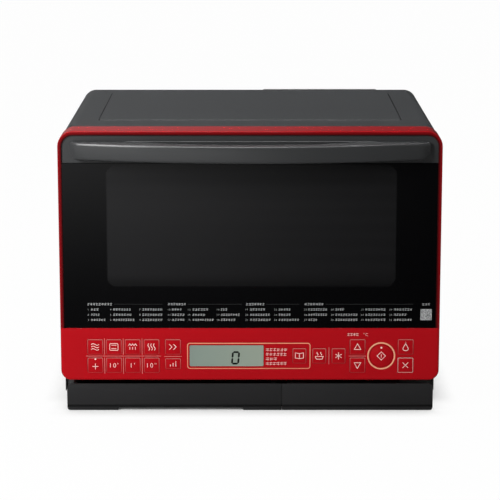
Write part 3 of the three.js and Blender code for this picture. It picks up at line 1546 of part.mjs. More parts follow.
const sensors = sensorPlaces();
body.add(
  piece('weight_sensor_left', weightSensor(sensors.left, true), aluminium),
  piece('weight_sensor_right', weightSensor(sensors.right, true), aluminium),
  piece('weight_sensor_rear', weightSensor(sensors.rear, false), aluminium),
  piece('antenna_motor', antennaMotor(), zincSteel),
  piece('waveguide', waveguide(), zincSteel),
  piece('magnetron', magnetron(), aluminium),
  piece('inverter_board', inverterBoard(), boardGreen),
  piece('fan_housing', fanHousing(), blackPlastic),
  piece('convection_casing', convectionCasing(), zincSteel),
  piece('convection_motor', convectionMotor(), darkSteel),
  piece('convection_heater', convectionHeater(), darkSteel),
  piece('grill_heater', grillHeater(), aluminium),
  piece('steam_boiler', steamBoiler(), aluminium),
  piece('water_pump', waterPump(), blackPlastic),
  piece('oven_lamp', ovenLamp(), clearGlass),
  piece('switch_bracket', switchBracket(), blackPlastic),
  piece('cord_gland', cordGland(), rubber),
  piece('hinge_bracket_left', mirrored(hingeBracket()), zincSteel),
  piece('hinge_bracket_right', hingeBracket(), zincSteel),
);

door.add(
  piece('door_frame', doorFrame(), redEnamel),
  piece('front_glass', frontGlass(), blackGlass),
  piece('handle', handle(), greyPlastic),
  piece('inner_panel', innerPanel(), darkSteel),
  piece('inner_glass', innerGlass(), clearGlass),
  piece('display_window', displayWindow(), displayGlass),
  piece('control_board', controlBoard(), boardGreen),
);
for (const key of keyPlan()) {
  door.add(piece(key.name, keyCap(key), redEnamel));
}

moving.add(
  piece('latch_left', mirrored(latchHook()), blackPlastic),
  piece('latch_right', latchHook(), blackPlastic),
  piece('drip_tray', dripTray(), barPlastic),
  piece('feed_water_tank', waterTank(), barPlastic),
  piece('table_plate', tablePlate(), ceramic),
  piece('antenna', antenna(), aluminium),
  piece('convection_fan', convectionFan(), zincSteel),
  piece('cooling_fan', coolingFan(), blackPlastic),
);

export default oven;
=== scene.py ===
# %% [markdown]
# # A countertop steam microwave oven
#
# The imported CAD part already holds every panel, key, hinge and fan at its true size. This lesson
# dresses it: the camera comes first, then the room, the finishes, and last the small printed and
# pressed details that a solid model leaves out.

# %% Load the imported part
import math

import bpy
import numpy as np
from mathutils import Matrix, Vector


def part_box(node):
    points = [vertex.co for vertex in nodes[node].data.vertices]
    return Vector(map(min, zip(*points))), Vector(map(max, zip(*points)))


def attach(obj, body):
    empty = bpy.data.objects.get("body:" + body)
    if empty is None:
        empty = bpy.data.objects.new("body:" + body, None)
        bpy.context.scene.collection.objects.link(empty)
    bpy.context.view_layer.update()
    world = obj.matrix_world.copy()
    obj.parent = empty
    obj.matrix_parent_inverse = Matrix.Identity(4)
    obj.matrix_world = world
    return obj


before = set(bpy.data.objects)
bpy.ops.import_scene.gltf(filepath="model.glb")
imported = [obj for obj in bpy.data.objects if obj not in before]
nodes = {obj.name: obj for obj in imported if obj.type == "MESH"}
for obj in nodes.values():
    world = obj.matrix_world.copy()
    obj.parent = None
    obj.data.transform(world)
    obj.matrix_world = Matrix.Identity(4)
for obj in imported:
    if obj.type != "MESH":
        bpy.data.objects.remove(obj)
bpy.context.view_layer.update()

mm = 0.001


def in_mm(*lengths):
    """Lengths as rounded millimetres, for the printed lines."""
    return [round(float(length) / mm, 1) for length in lengths]


# %% [markdown]
# ## Camera
#
# A product picture is taken with a long lens from a few steps away, a little above the object, so
# that the top shows and the sides stay almost upright. The place below was fitted to the corners
# of the door and of the base bar.

# %% Camera
door_low, door_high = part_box("door_frame")
door_face = door_low.y
camera_distance = 2623.2 * mm  # in front of the door
camera_height = 748.0 * mm
camera_pitch = math.radians(11.535)  # looking down
camera_lens = 151.3  # on a sensor 36 wide
view_reach = 100.0  # metres, past the end of the floor

camera_data = bpy.data.cameras.new("camera")
camera_data.lens = camera_lens
camera_data.clip_end = view_reach
camera = bpy.data.objects.new("camera", camera_data)
camera.location = (0, door_face - camera_distance, camera_height)
camera.rotation_euler = (math.pi / 2 - camera_pitch, 0, 0)
bpy.context.collection.objects.link(camera)
bpy.context.scene.camera = camera
bpy.context.scene.view_settings.view_transform = "Standard"
print("camera at", in_mm(*camera.location))

# %% [markdown]
# ## Helpers for materials
#
# Colours are written as sRGB hex, the way a paint chart gives them, and one function turns them to
# the linear values that the renderer adds up. A second adds one node, sets its properties and
# either fills or links its inputs. A third starts a finish: its shader, and the coordinates that
# its patterns read.


# %% Colour and node helpers
def linear(code):
    """Each sRGB channel c becomes c / 12.92 near black, else ((c + 0.055) / 1.055) ^ 2.4."""
    channels = np.array([int(code[i:i + 2], 16) for i in (1, 3, 5)]) / 255
    curve = np.where(channels <= 0.04045, channels / 12.92, ((channels + 0.055) / 1.055) ** 2.4)
    return (*curve.tolist(), 1.0)


def add_node(tree, kind, inputs=None, **settings):
    """One node: settings are its properties, and an input is a value or another node's output."""
    node = tree.nodes.new(kind)
    for name, value in settings.items():
        setattr(node, name, value)
    for name, value in (inputs or {}).items():
        if isinstance(value, bpy.types.NodeSocket):
            tree.links.new(value, node.inputs[name])
        else:
            node.inputs[name].default_value = value
    return node


def new_finish(name, colour, roughness, **sockets):
    """One Principled shader; gives the material, its tree, the shader and Object coordinates."""
    material = bpy.data.materials.new(name)
    material.use_nodes = True
    tree = material.node_tree
    tree.nodes.clear()
    shader = add_node(tree, "ShaderNodeBsdfPrincipled", {
        "Base Color": linear(colour), "Roughness": roughness, **sockets})
    add_node(tree, "ShaderNodeOutputMaterial", {"Surface": shader.outputs["BSDF"]})
    place = add_node(tree, "ShaderNodeTexCoord").outputs["Object"]
    material.diffuse_color = linear(colour)
    return material, tree, shader, place


panel_red = "#AE1019"
print("red of the door in linear light:", [round(channel, 3) for channel in linear(panel_red)])

# %% [markdown]
# ## Room
#
# A pale floor and a white background, as in a catalogue. The floor keeps the oven's shadow; what the
# camera sees of it is lifted towards white with Light Path, so that no extra lamp light is needed.
# Glossy rays see a different room, as in a real studio with its cards and softboxes: the floor is
# bright at the front left and dark to the right, the walls are dim, and overhead hangs a softbox
# that draws the bright lines on all upper edges.


# %% Rays that see the background
def backdrop_rays(tree, mirrored):
    """Two outputs: 1 for a ray that sees the background, and how bright that is to it.

    It is 1 to the camera and the value of mirrored to a glossy ray. A glossy ray that follows a
    diffuse bounce doesn't count: it would only bring bright specks.
    """
    light_path = add_node(tree, "ShaderNodeLightPath")
    direct = add_node(tree, "ShaderNodeMath", {
        0: light_path.outputs["Diffuse Depth"], 1: 0.5}, operation="LESS_THAN")
    glossy = add_node(tree, "ShaderNodeMath", {
        0: light_path.outputs["Is Glossy Ray"], 1: direct.outputs[0]}, operation="MULTIPLY").outputs[0]
    seen = add_node(tree, "ShaderNodeMath", {
        0: light_path.outputs["Is Camera Ray"], 1: glossy}, operation="MAXIMUM")
    seen = add_node(tree, "ShaderNodeMath", {
        0: seen.outputs[0], 1: light_path.outputs["Is Transmission Ray"]}, operation="MAXIMUM")
    strength = add_node(tree, "ShaderNodeMix", {"Factor": glossy, "A": 1.0, "B": mirrored})
    return seen.outputs[0], strength.outputs[0]


white = linear("#FFFFFF")
print("white in linear light:", white)

# %% Floor
floor_reach = 15.0
contact_shadow_reach = 35 * mm
floor_lift = 0.98
floor_mesh = bpy.data.meshes.new("floor")
floor_corners = np.array([(-1, -1, 0), (1, -1, 0), (1, 1, 0), (-1, 1, 0)]) * floor_reach
floor_mesh.from_pydata(floor_corners.tolist(), [], [(0, 1, 2, 3)])
floor = bpy.data.objects.new("floor", floor_mesh)
bpy.context.collection.objects.link(floor)

# the bright card on the floor that glossy rays see: along which axis, from where to where in
# metres, and from which strength to which
card_fades = (("X", -0.55, 0.45, 1.0, 0.05), ("Y", -0.6, -2.4, 0.15, 1.15))
floor_paint, tree, shader, place = new_finish("matt_white_floor", "#C4C4C2", 0.9)
where = add_node(tree, "ShaderNodeSeparateXYZ", {"Vector": place})
left_card, far_card = [
    add_node(tree, "ShaderNodeMapRange", {
        "Value": where.outputs[axis], "From Min": start, "From Max": end, "To Min": low,
        "To Max": high}, interpolation_type="SMOOTHSTEP").outputs["Result"]
    for axis, start, end, low, high in card_fades]
card = add_node(tree, "ShaderNodeMath", {0: left_card, 1: far_card}, operation="MULTIPLY").outputs[0]
seen, strength = backdrop_rays(tree, card)
glow = add_node(tree, "ShaderNodeEmission", {"Color": white, "Strength": strength})
open_sky = add_node(tree, "ShaderNodeAmbientOcclusion", {"Distance": contact_shadow_reach}, samples=8)
lift = add_node(tree, "ShaderNodeMath", {
    0: open_sky.outputs["AO"], 1: floor_lift}, operation="MULTIPLY").outputs[0]
share = add_node(tree, "ShaderNodeMath", {0: seen, 1: lift}, operation="MULTIPLY")
mixed = add_node(tree, "ShaderNodeMixShader", {
    0: share.outputs[0], 1: shader.outputs["BSDF"], 2: glow.outputs["Emission"]})
tree.links.new(mixed.outputs[0], tree.nodes["Material Output"].inputs["Surface"])
floor_mesh.materials.append(floor_paint)
print("floor reaches", floor_reach, "m each way")

# %% World
ambient_strength = 0.18
left_wall_strength, right_wall_strength = 0.22, 0.04
wall_turn = (-0.12, 0.1)  # the walls change between these values of a direction's x
softbox_fade = (0.77, 0.98)  # and the softbox fades in between these of its z
softbox_strength = 18.0
world = bpy.data.worlds.new("studio")
world.use_nodes = True
tree = world.node_tree
tree.nodes.clear()
direction = add_node(tree, "ShaderNodeTexCoord").outputs["Generated"]
where = add_node(tree, "ShaderNodeSeparateXYZ", {"Vector": direction})
mirrored = left_wall_strength
# first the walls, from left to right, then the softbox over them
for axis, (start, end), high in (("X", wall_turn, right_wall_strength),
                                 ("Z", softbox_fade, softbox_strength)):
    mirrored = add_node(tree, "ShaderNodeMapRange", {
        "Value": where.outputs[axis], "From Min": start, "From Max": end,
        "To Min": mirrored, "To Max": high}, interpolation_type="SMOOTHSTEP").outputs["Result"]
seen, strength = backdrop_rays(tree, mirrored)
ambient = add_node(tree, "ShaderNodeBackground", {"Color": white, "Strength": ambient_strength})
backdrop = add_node(tree, "ShaderNodeBackground", {"Color": white, "Strength": strength})
mixed = add_node(tree, "ShaderNodeMixShader", {0: seen, 1: ambient.outputs[0], 2: backdrop.outputs[0]})
add_node(tree, "ShaderNodeOutputWorld", {"Surface": mixed.outputs[0]})
bpy.context.scene.world = world
print("world:", len(tree.nodes), "nodes")

# %% [markdown]
# ## Lamps
#
# Area lamps stand for softboxes: the larger and nearer, the softer the shade. A small key stands
# near the front left, with a weak fill at the right. One hangs over the top, one lights the right
# side, and a high one behind reaches the back, which no picture from the front shows.


# %% Lamps
def soft_lamp(name, place, target, size, watts):
    """A square area lamp at a place, turned so that it faces the target."""
    data = bpy.data.lights.new(name, "AREA")
    data.shape = "SQUARE"
    data.size = size
    data.energy = watts
    lamp = bpy.data.objects.new(name, data)
    lamp.location = place
    lamp.rotation_euler = (Vector(target) - Vector(place)).to_track_quat("-Z", "Y").to_euler()
    bpy.context.collection.objects.link(lamp)


oven_middle = (0, 0, 0.18)
# each lamp: its place and its side, in metres, and its watts
lamps = {
    "key_lamp": ((-0.95, -1.15, 0.98), 0.7, 26),
    "fill_lamp": ((2.2, -1.4, 0.9), 1.4, 2),
    "top_lamp": ((-0.3, 0.3, 2.0), 1.2, 11),
    "rear_lamp": ((-0.5, 1.8, 2.9), 1.4, 12),
    "side_lamp": ((2.5, 0.5, 1.1), 1.4, 14),
}
for name, (place, size, watts) in lamps.items():
    soft_lamp(name, place, oven_middle, size, watts)
print("lamps:", list(lamps))

# %% [markdown]
# ## Soft edges on the pressed and moulded parts
#
# The CAD meshes are flat triangles. Real mouldings and folded sheets have a small radius on every
# edge, and that radius is what catches the light. Their meshes stay as they are: a stack of
# modifiers welds the triangles, rounds the sharp edges by a fraction of a millimetre, and shades
# the shallow angles smooth. On the large pieces, weighted normals keep the flat faces flat beside
# their rounded edges. The door's front outline gets a wider radius than its other edges, so its
# edges are found first, by their distance from a rounded box.


# %% Shallow edges smooth
def mesh_group(name):
    """A geometry node group with one mesh going in and one coming out."""
    group = bpy.data.node_groups.new(name, "GeometryNodeTree")
    for way in ("INPUT", "OUTPUT"):
        group.interface.new_socket("Geometry", in_out=way, socket_type="NodeSocketGeometry")
    return group, group.nodes.new("NodeGroupInput"), group.nodes.new("NodeGroupOutput")


def smooth_by_angle(name, limit_degrees):
    """All faces smooth, and each edge smooth only where its faces turn less than the limit."""
    group, start, end = mesh_group(name)
    turn = add_node(group, "GeometryNodeInputMeshEdgeAngle").outputs["Unsigned Angle"]
    shallow = add_node(group, "FunctionNodeCompare", operation="LESS_THAN", data_type="FLOAT")
    group.links.new(turn, shallow.inputs[0])
    shallow.inputs[1].default_value = math.radians(limit_degrees)
    faces = add_node(group, "GeometryNodeSetShadeSmooth", {
        "Geometry": start.outputs[0], "Shade Smooth": True}, domain="FACE")
    edges = add_node(group, "GeometryNodeSetShadeSmooth", {
        "Geometry": faces.outputs[0], "Shade Smooth": shallow.outputs[0]}, domain="EDGE")
    group.links.new(edges.outputs[0], end.inputs[0])
    return group


smooth_group = smooth_by_angle("smooth shallow edges", 35)
smooth_steps = smooth_by_angle("smooth folds, sharp steps", 20)
print("node groups:", smooth_group.name, "and", smooth_steps.name)


# %% The door's front outline
def distance_from_core(tree, place, low, high, radius):
    """How far a point lies outside a box's core in x and z: the length of max(q, 0), where
    q = |p - middle| - half + radius. On the outline of the box with rounded corners it is radius."""
    any_depth = 10.0
    middle = ((low[0] + high[0]) / 2, 0, (low[1] + high[1]) / 2)
    core = ((high[0] - low[0]) / 2 - radius, any_depth, (high[1] - low[1]) / 2 - radius)
    centred = add_node(tree, "ShaderNodeVectorMath", {0: place, 1: middle}, operation="SUBTRACT")
    folded = add_node(tree, "ShaderNodeVectorMath", {0: centred.outputs[0]}, operation="ABSOLUTE")
    q = add_node(tree, "ShaderNodeVectorMath", {0: folded.outputs[0], 1: core}, operation="SUBTRACT")
    outside = add_node(tree, "ShaderNodeVectorMath", {
        0: q.outputs[0], 1: (0, 0, 0)}, operation="MAXIMUM").outputs[0]
    return add_node(tree, "ShaderNodeVectorMath", {0: outside}, operation="LENGTH").outputs["Value"]


def mark_outer_edge(name, low, high, radius, margin, plane_margin):
    """Bevel weight 1 on the edges near the front outline of a box, in its front plane; 0 elsewhere."""
    group, start, end = mesh_group(name)
    place = add_node(group, "GeometryNodeInputPosition").outputs[0]
    distance = distance_from_core(group, place, (low.x, low.z), (high.x, high.z), radius)
    outer = add_node(group, "ShaderNodeMath", {
        0: distance, 1: radius - margin}, operation="GREATER_THAN").outputs[0]
    depth = add_node(group, "ShaderNodeSeparateXYZ", {0: place}).outputs["Y"]
    front = add_node(group, "ShaderNodeMath", {
        0: depth, 1: low.y + plane_margin}, operation="LESS_THAN").outputs[0]
    weight = add_node(group, "ShaderNodeMath", {0: outer, 1: front}, operation="MULTIPLY")
    store = add_node(group, "GeometryNodeStoreNamedAttribute", {
        "Geometry": start.outputs[0], "Name": "bevel_weight_edge"}, domain="EDGE", data_type="FLOAT")
    group.links.new(weight.outputs[0], store.inputs["Value"])
    group.links.new(store.outputs[0], end.inputs[0])
    return group


outer_radius, outer_bevel = 19.5 * mm, 2.3 * mm
outline_margin, plane_margin = outer_radius / 8, 0.05 * mm
door_frame = nodes["door_frame"]
door_frame.modifiers.new("mark outer edge", "NODES").node_group = mark_outer_edge(
    "mark outer edge", door_low, door_high, outer_radius, outline_margin, plane_margin)
bevel = door_frame.modifiers.new("wide outer edge", "BEVEL")
bevel.width = outer_bevel
bevel.segments = 4
bevel.limit_method = "WEIGHT"
print("outer edge of the door rounded by", in_mm(outer_bevel))

# %% All other edges
edge_radius_mm = {
    "door_frame": 0.5, "handle": 0.6, "drip_tray": 0.5, "feed_water_tank": 0.5,
    "outer_cabinet": 0.3, "rear_cover": 0.3, "table_plate": 0.5, "inner_panel": 0.4,
}
key_radius_mm = 0.15
weld_distance = 0.005 * mm
sharpest_fold = math.radians(50)  # only edges that turn more are rounded
weighted = ("outer_cabinet", "door_frame", "handle")


def round_edges(part, radius_mm, smooth):
    """Weld, bevel and smooth a CAD node, all as modifiers; no bevel where the radius is 0."""
    part.modifiers.new("weld", "WELD").merge_threshold = weld_distance
    if radius_mm > 0:
        bevel = part.modifiers.new("round edges", "BEVEL")
        bevel.width = radius_mm * mm
        bevel.segments = 2
        bevel.limit_method = "ANGLE"
        bevel.angle_limit = sharpest_fold
    part.modifiers.new("smooth", "NODES").node_group = smooth


for node_name, part in nodes.items():
    radius_mm = key_radius_mm if node_name.startswith("key_") else edge_radius_mm.get(node_name, 0)
    round_edges(part, radius_mm, smooth_steps if node_name == "outer_cabinet" else smooth_group)
    if node_name in weighted:
        part.modifiers.new("flat faces stay flat", "WEIGHTED_NORMAL").keep_sharp = True
print("rounded", len(edge_radius_mm), "CAD nodes and the keys, smoothed", len(nodes))

# %% [markdown]
# ## Moulded plastics
#
# The door frame and its keys are ABS under a smooth red lacquer: their faces stay an even, deep red
# and only the edges draw a bright line. The handle is charcoal ABS from a finely eroded mould, which
# breaks its gloss up a little, and drip tray and tank are near-black polypropylene, duller still.
# Each one is a Principled shader with a bump from noise at the scale of its grain. Near the foot of
# tray and tank, a narrow band with less of their colour is a painted shadow under a step.


# %% Moulded plastics
clouds_per_metre = 9.0


def moulded(name, colour, roughness, grain_mm, depth_mm, spread, **sockets):
    """Plastic or rubber: slow noise moves the colour by its spread, fine noise is the mould's grain."""
    material, tree, shader, place = new_finish(name, colour, roughness, **sockets)
    slow = add_node(tree, "ShaderNodeTexNoise", {
        "Vector": place, "Scale": clouds_per_metre, "Detail": 2.0})
    value = add_node(tree, "ShaderNodeMapRange", {
        "Value": slow.outputs["Fac"], "To Min": 1 - spread, "To Max": 1 + spread})
    shade = add_node(tree, "ShaderNodeHueSaturation", {
        "Color": linear(colour), "Value": value.outputs["Result"]})
    tree.links.new(shade.outputs["Color"], shader.inputs["Base Color"])
    grain = add_node(tree, "ShaderNodeTexNoise", {
        "Vector": place, "Scale": 1 / (grain_mm * mm), "Detail": 2.0})
    bump = add_node(tree, "ShaderNodeBump", {
        "Strength": 0.5, "Distance": depth_mm * mm, "Height": grain.outputs["Fac"]})
    tree.links.new(bump.outputs["Normal"], shader.inputs["Normal"])
    return material


def paint_step_shadow(material, low, high, share, fade=0.2):
    """Painted shadow: the finish keeps only a share of its colour between two heights, as under a step.

    It fades out above and below over a share of the band's height.
    """
    tree = material.node_tree
    shader = tree.nodes["Principled BSDF"]
    colour = shader.inputs["Base Color"].links[0].from_socket
    place = add_node(tree, "ShaderNodeTexCoord").outputs["Object"]
    height = add_node(tree, "ShaderNodeSeparateXYZ", {"Vector": place}).outputs["Z"]
    away = add_node(tree, "ShaderNodeMath", {0: height, 1: (low + high) / 2}, operation="SUBTRACT")
    away = add_node(tree, "ShaderNodeMath", {0: away.outputs[0]}, operation="ABSOLUTE")
    keep = add_node(tree, "ShaderNodeMapRange", {
        "Value": away.outputs[0], "From Min": (high - low) / 2, "From Max": (high - low) * (0.5 + fade),
        "To Min": share, "To Max": 1.0})
    shade = add_node(tree, "ShaderNodeHueSaturation", {
        "Color": colour, "Value": keep.outputs["Result"]})
    tree.links.new(shade.outputs["Color"], shader.inputs["Base Color"])


# each finish: its colour and roughness, its grain and the grain's depth in mm, its spread of tone
# lacquer lies smooth over the ABS: an even red whose edges draw a thin bright line
red_lacquer = moulded("red_lacquered_abs", panel_red, 0.12, 0.6, 0.0005, 0.03, **{
    "IOR": 1.46, "Specular IOR Level": 0.15})
# an eroded mould leaves a fine grain that widens every highlight
charcoal_abs = moulded("charcoal_eroded_abs", "#343536", 0.28, 0.5, 0.003, 0.04, **{
    "IOR": 1.53, "Specular IOR Level": 0.4})
# polypropylene is a little waxy and reflects little
dull_plastic = {"IOR": 1.49, "Specular IOR Level": 0.12}
black_polypropylene = moulded(
    "black_moulded_polypropylene", "#252526", 0.42, 0.8, 0.01, 0.05, **dull_plastic)
black_drawer = moulded("black_drawer_polypropylene", "#2A2A2B", 0.42, 0.8, 0.01, 0.05, **dull_plastic)
# a painted shadow of the step near the foot of tray and tank
step_shadow_low, step_shadow_high = 5.2 * mm, 7.6 * mm
paint_step_shadow(black_drawer, step_shadow_low, step_shadow_high, 0.4)
# filled polyamide is matt and uneven, and rubber swallows nearly all light
black_polyamide = moulded("black_moulded_polyamide", "#1B1B1C", 0.5, 0.8, 0.02, 0.08, IOR=1.53)
black_rubber = moulded("black_moulded_rubber", "#1A1A1A", 0.8, 1.2, 0.04, 0.12, IOR=1.52)
print("plastics:", red_lacquer.name, charcoal_abs.name, black_polypropylene.name)

# %% [markdown]
# ## Sheet metal, enamel and castings
#
# The cabinet is steel with a charcoal powder coat: fine orange peel, so its gloss is broken up. The
# steps of the field pressed into its top get painted shade: a matt, darker colour. The
# cavity is enamelled and lightly speckled, and the table plate is glazed ceramic. Waveguide and
# brackets are zinc plated, with the faint spangle of the crystals, and boiler, fins and fan are
# plain aluminium.


# %% Metals and enamels
def coated(name, colour, roughness, speck_mm, depth_mm, speck_colour, speck_share, **sockets):
    """Powder coat or enamel: one Voronoi cell for each speck, coloured where its random value is
    under the share, and orange peel of twice the specks' size as bump."""
    material, tree, shader, place = new_finish(name, colour, roughness, **sockets)
    cells = add_node(tree, "ShaderNodeTexVoronoi", {"Vector": place, "Scale": 1 / (speck_mm * mm)})
    value = add_node(tree, "ShaderNodeSeparateColor", {"Color": cells.outputs["Color"]}).outputs["Red"]
    speck = add_node(tree, "ShaderNodeMath", {0: value, 1: speck_share}, operation="LESS_THAN")
    shade = add_node(tree, "ShaderNodeMix", {
        "Factor": speck.outputs[0], "A": linear(colour), "B": linear(speck_colour)}, data_type="RGBA")
    tree.links.new(shade.outputs["Result"], shader.inputs["Base Color"])
    peel = add_node(tree, "ShaderNodeTexNoise", {
        "Vector": place, "Scale": 0.5 / (speck_mm * mm), "Detail": 2.0})
    bump = add_node(tree, "ShaderNodeBump", {
        "Strength": 0.6, "Distance": depth_mm * mm, "Height": peel.outputs["Fac"]})
    tree.links.new(bump.outputs["Normal"], shader.inputs["Normal"])
    return material


def paint_slope_shade(material, height, colour):
    """Above a height, faces that lean left or right get painted shade: matt and dark, as the steps of a
    pressing lie in shade.
    """
    least_lean = 0.2  # of a normal's x
    tree = material.node_tree
    coords = add_node(tree, "ShaderNodeTexCoord")
    above = add_node(tree, "ShaderNodeSeparateXYZ", {"Vector": coords.outputs["Object"]}).outputs["Z"]
    above = add_node(tree, "ShaderNodeMath", {0: above, 1: height}, operation="GREATER_THAN")
    lean = add_node(tree, "ShaderNodeSeparateXYZ", {"Vector": coords.outputs["Normal"]}).outputs["X"]
    lean = add_node(tree, "ShaderNodeMath", {0: lean}, operation="ABSOLUTE")
    lean = add_node(tree, "ShaderNodeMath", {0: lean.outputs[0], 1: least_lean}, operation="GREATER_THAN")
    where = add_node(tree, "ShaderNodeMath", {
        0: above.outputs[0], 1: lean.outputs[0]}, operation="MULTIPLY")
    shader = tree.nodes["Principled BSDF"]
    shade = add_node(tree, "ShaderNodeMix", {
        "Factor": where.outputs[0], "A": shader.inputs["Base Color"].links[0].from_socket,
        "B": linear(colour)}, data_type="RGBA")
    tree.links.new(shade.outputs["Result"], shader.inputs["Base Color"])
    matt = add_node(tree, "ShaderNodeMapRange", {
        "Value": where.outputs[0], "To Min": shader.inputs["Roughness"].default_value, "To Max": 1.0})
    tree.links.new(matt.outputs["Result"], shader.inputs["Roughness"])


def bare_metal(name, colour, roughness, grain_mm, depth_mm, spread):
    """Metal: noise gives spangle or a casting's skin, in roughness as well as in bump."""
    material, tree, shader, place = new_finish(name, colour, roughness, Metallic=1.0)
    grain = add_node(tree, "ShaderNodeTexNoise", {
        "Vector": place, "Scale": 1 / (grain_mm * mm), "Detail": 3.0})
    rough = add_node(tree, "ShaderNodeMapRange", {
        "Value": grain.outputs["Fac"], "To Min": roughness - spread, "To Max": roughness + spread})
    tree.links.new(rough.outputs["Result"], shader.inputs["Roughness"])
    bump = add_node(tree, "ShaderNodeBump", {
        "Strength": 0.4, "Distance": depth_mm * mm, "Height": grain.outputs["Fac"]})
    tree.links.new(bump.outputs["Normal"], shader.inputs["Normal"])
    return material


# powder coat: a pebbly skin whose paler specks break its flat grey up
charcoal_powder_coat = coated("charcoal_powder_coat", "#242526", 0.36, 0.7, 0.02, "#3A3B3C", 0.2, **{
    "Specular IOR Level": 0.03})
# the steps of the pressed field on the cabinet's top get a painted shade, dark and matt
step_bottom = 363.9 * mm
paint_slope_shade(charcoal_powder_coat, step_bottom, "#1B1B1C")
dark_powder_coat = coated("dark_powder_coat", "#323233", 0.55, 0.7, 0.02, "#3F3F40", 0.2)
# enamel is glassy, with its specks under a clear coat; a glaze is smoother still
grey_enamel = coated("grey_speckled_enamel", "#55565A", 0.3, 0.8, 0.006, "#6E7076", 0.05, **{
    "Coat Weight": 0.3, "Coat Roughness": 0.12})
black_ceramic = coated("black_glazed_ceramic", "#2A2A2C", 0.16, 0.9, 0.004, "#4A4A4E", 0.05)
# zinc crystals are large patches that differ in gloss, a casting's skin is fine and matt, and
# steel that has run hot is brown and dull
zinc_steel = bare_metal("zinc_plated_steel", "#B4B7BA", 0.4, 6.0, 0.01, 0.12)
cast_aluminium = bare_metal("cast_aluminium", "#B9BBBD", 0.45, 1.0, 0.05, 0.1)
heater_steel = bare_metal("heat_tinted_steel", "#5D5651", 0.42, 3.0, 0.01, 0.12)
print("metals:", zinc_steel.name, cast_aluminium.name, heater_steel.name)

# %% [markdown]
# ## Glass
#
# The front pane is float glass printed black on its back. Over the window the print thins out into
# fine dots, so the perforated screen behind it shows as a slightly lighter field. The window is a
# box with rounded corners, and the same distance that found the door's outline, put through a soft
# step, blends its print with the black round it. Over the window lies painted light and shade: the
# tone is palest at the middle left and sinks towards the top, the right and the foot.


# %% Front glass
glass_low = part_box("front_glass")[0]
window_left, window_right = -182.0 * mm, 185.6 * mm
window_bottom, window_top = 165.0 * mm, 321.1 * mm
window_radius = 11 * mm
window_edge_softness = 1.6 * mm
dotted_border = 5.5 * mm  # the field of the screen starts this much inside the window's corners
dotted_border_softness = 1.2 * mm
screen_band = 20.1 * mm  # the screen's rows blur into faint level bands of this height
# how far painted shade reaches down from the window's top and up from its foot
top_shade_reach, foot_shade_reach = 60 * mm, 18 * mm
glass_black = "#060607"


def window_share(tree, place, radius, softness):
    """1 inside the rounded window, 0 outside it, with a soft step across the edge."""
    distance = distance_from_core(
        tree, place, (window_left, window_bottom), (window_right, window_top), radius)
    return add_node(tree, "ShaderNodeMapRange", {
        "Value": distance, "From Min": radius + softness, "From Max": radius - softness},
        interpolation_type="SMOOTHSTEP").outputs["Result"]


def printed_glass():
    """Black-printed float glass with the window's dotted print, and painted light and shade over the
    window.
    """
    material, tree, shader, place = new_finish("black_printed_float_glass", glass_black, 0.06, **{
        "IOR": 1.52, "Specular IOR Level": 0.18})
    window = window_share(tree, place, window_radius, window_edge_softness)
    screen_share = window_share(tree, place, window_radius - dotted_border, dotted_border_softness)
    bands = add_node(tree, "ShaderNodeTexWave", {
        "Vector": place, "Scale": math.pi / (10 * screen_band), "Distortion": 0.0}, bands_direction="Z")
    where = add_node(tree, "ShaderNodeSeparateXYZ", {"Vector": place})
    # painted light and shade over the window: along which axis, from where to where, and from which value
    # to which
    fades = (("X", window_left, window_right, 1.0, 0.25),
             ("Z", window_top, window_top - top_shade_reach, 0.0, 1.0),
             ("Z", window_bottom, window_bottom + foot_shade_reach, 0.55, 1.0))
    across, down, foot = [
        add_node(tree, "ShaderNodeMapRange", {
            "Value": where.outputs[axis], "From Min": start, "From Max": end, "To Min": low,
            "To Max": high}, interpolation_type="SMOOTHSTEP").outputs["Result"]
        for axis, start, end, low, high in fades]
    # 1 where the painted light is strongest: at the left, below the painted shade of the top
    depth = add_node(tree, "ShaderNodeMath", {0: across, 1: down}, operation="MULTIPLY").outputs[0]
    print_grey_and_painted_light = linear("#1D1D1E")
    lines = add_node(tree, "ShaderNodeMix", {
        "Factor": bands.outputs["Fac"], "A": linear("#131314"), "B": linear("#161617")},
        data_type="RGBA").outputs["Result"]
    field = add_node(tree, "ShaderNodeMix", {
        "Factor": screen_share, "A": print_grey_and_painted_light, "B": lines}, data_type="RGBA").outputs["Result"]
    painted_light_field = add_node(tree, "ShaderNodeMix", {
        "Factor": depth, "A": field, "B": print_grey_and_painted_light}, data_type="RGBA").outputs["Result"]
    # painted shade towards the foot of the window
    field = add_node(tree, "ShaderNodeHueSaturation", {"Color": painted_light_field, "Value": foot})
    shade = add_node(tree, "ShaderNodeMix", {
        "Factor": window, "A": linear("#040405"), "B": field.outputs["Color"]}, data_type="RGBA")
    tree.links.new(shade.outputs["Result"], shader.inputs["Base Color"])
    return material


float_glass = printed_glass()
print("window:", in_mm(window_right - window_left, window_top - window_bottom))


# %% Lamp glass and inner pane
def see_through(name, colour, roughness, transmission):
    """Clear or tinted glass, faintly uneven so that its reflections aren't ruler straight."""
    material, tree, shader, place = new_finish(name, colour, roughness, **{
        "IOR": 1.5, "Transmission Weight": transmission})
    wave_length = 83 * mm
    waves = add_node(tree, "ShaderNodeTexNoise", {
        "Vector": place, "Scale": 1 / wave_length, "Detail": 1.0})
    bump = add_node(tree, "ShaderNodeBump", {
        "Strength": 0.2, "Distance": 0.01 * mm, "Height": waves.outputs["Fac"]})
    tree.links.new(bump.outputs["Normal"], shader.inputs["Normal"])
    return material


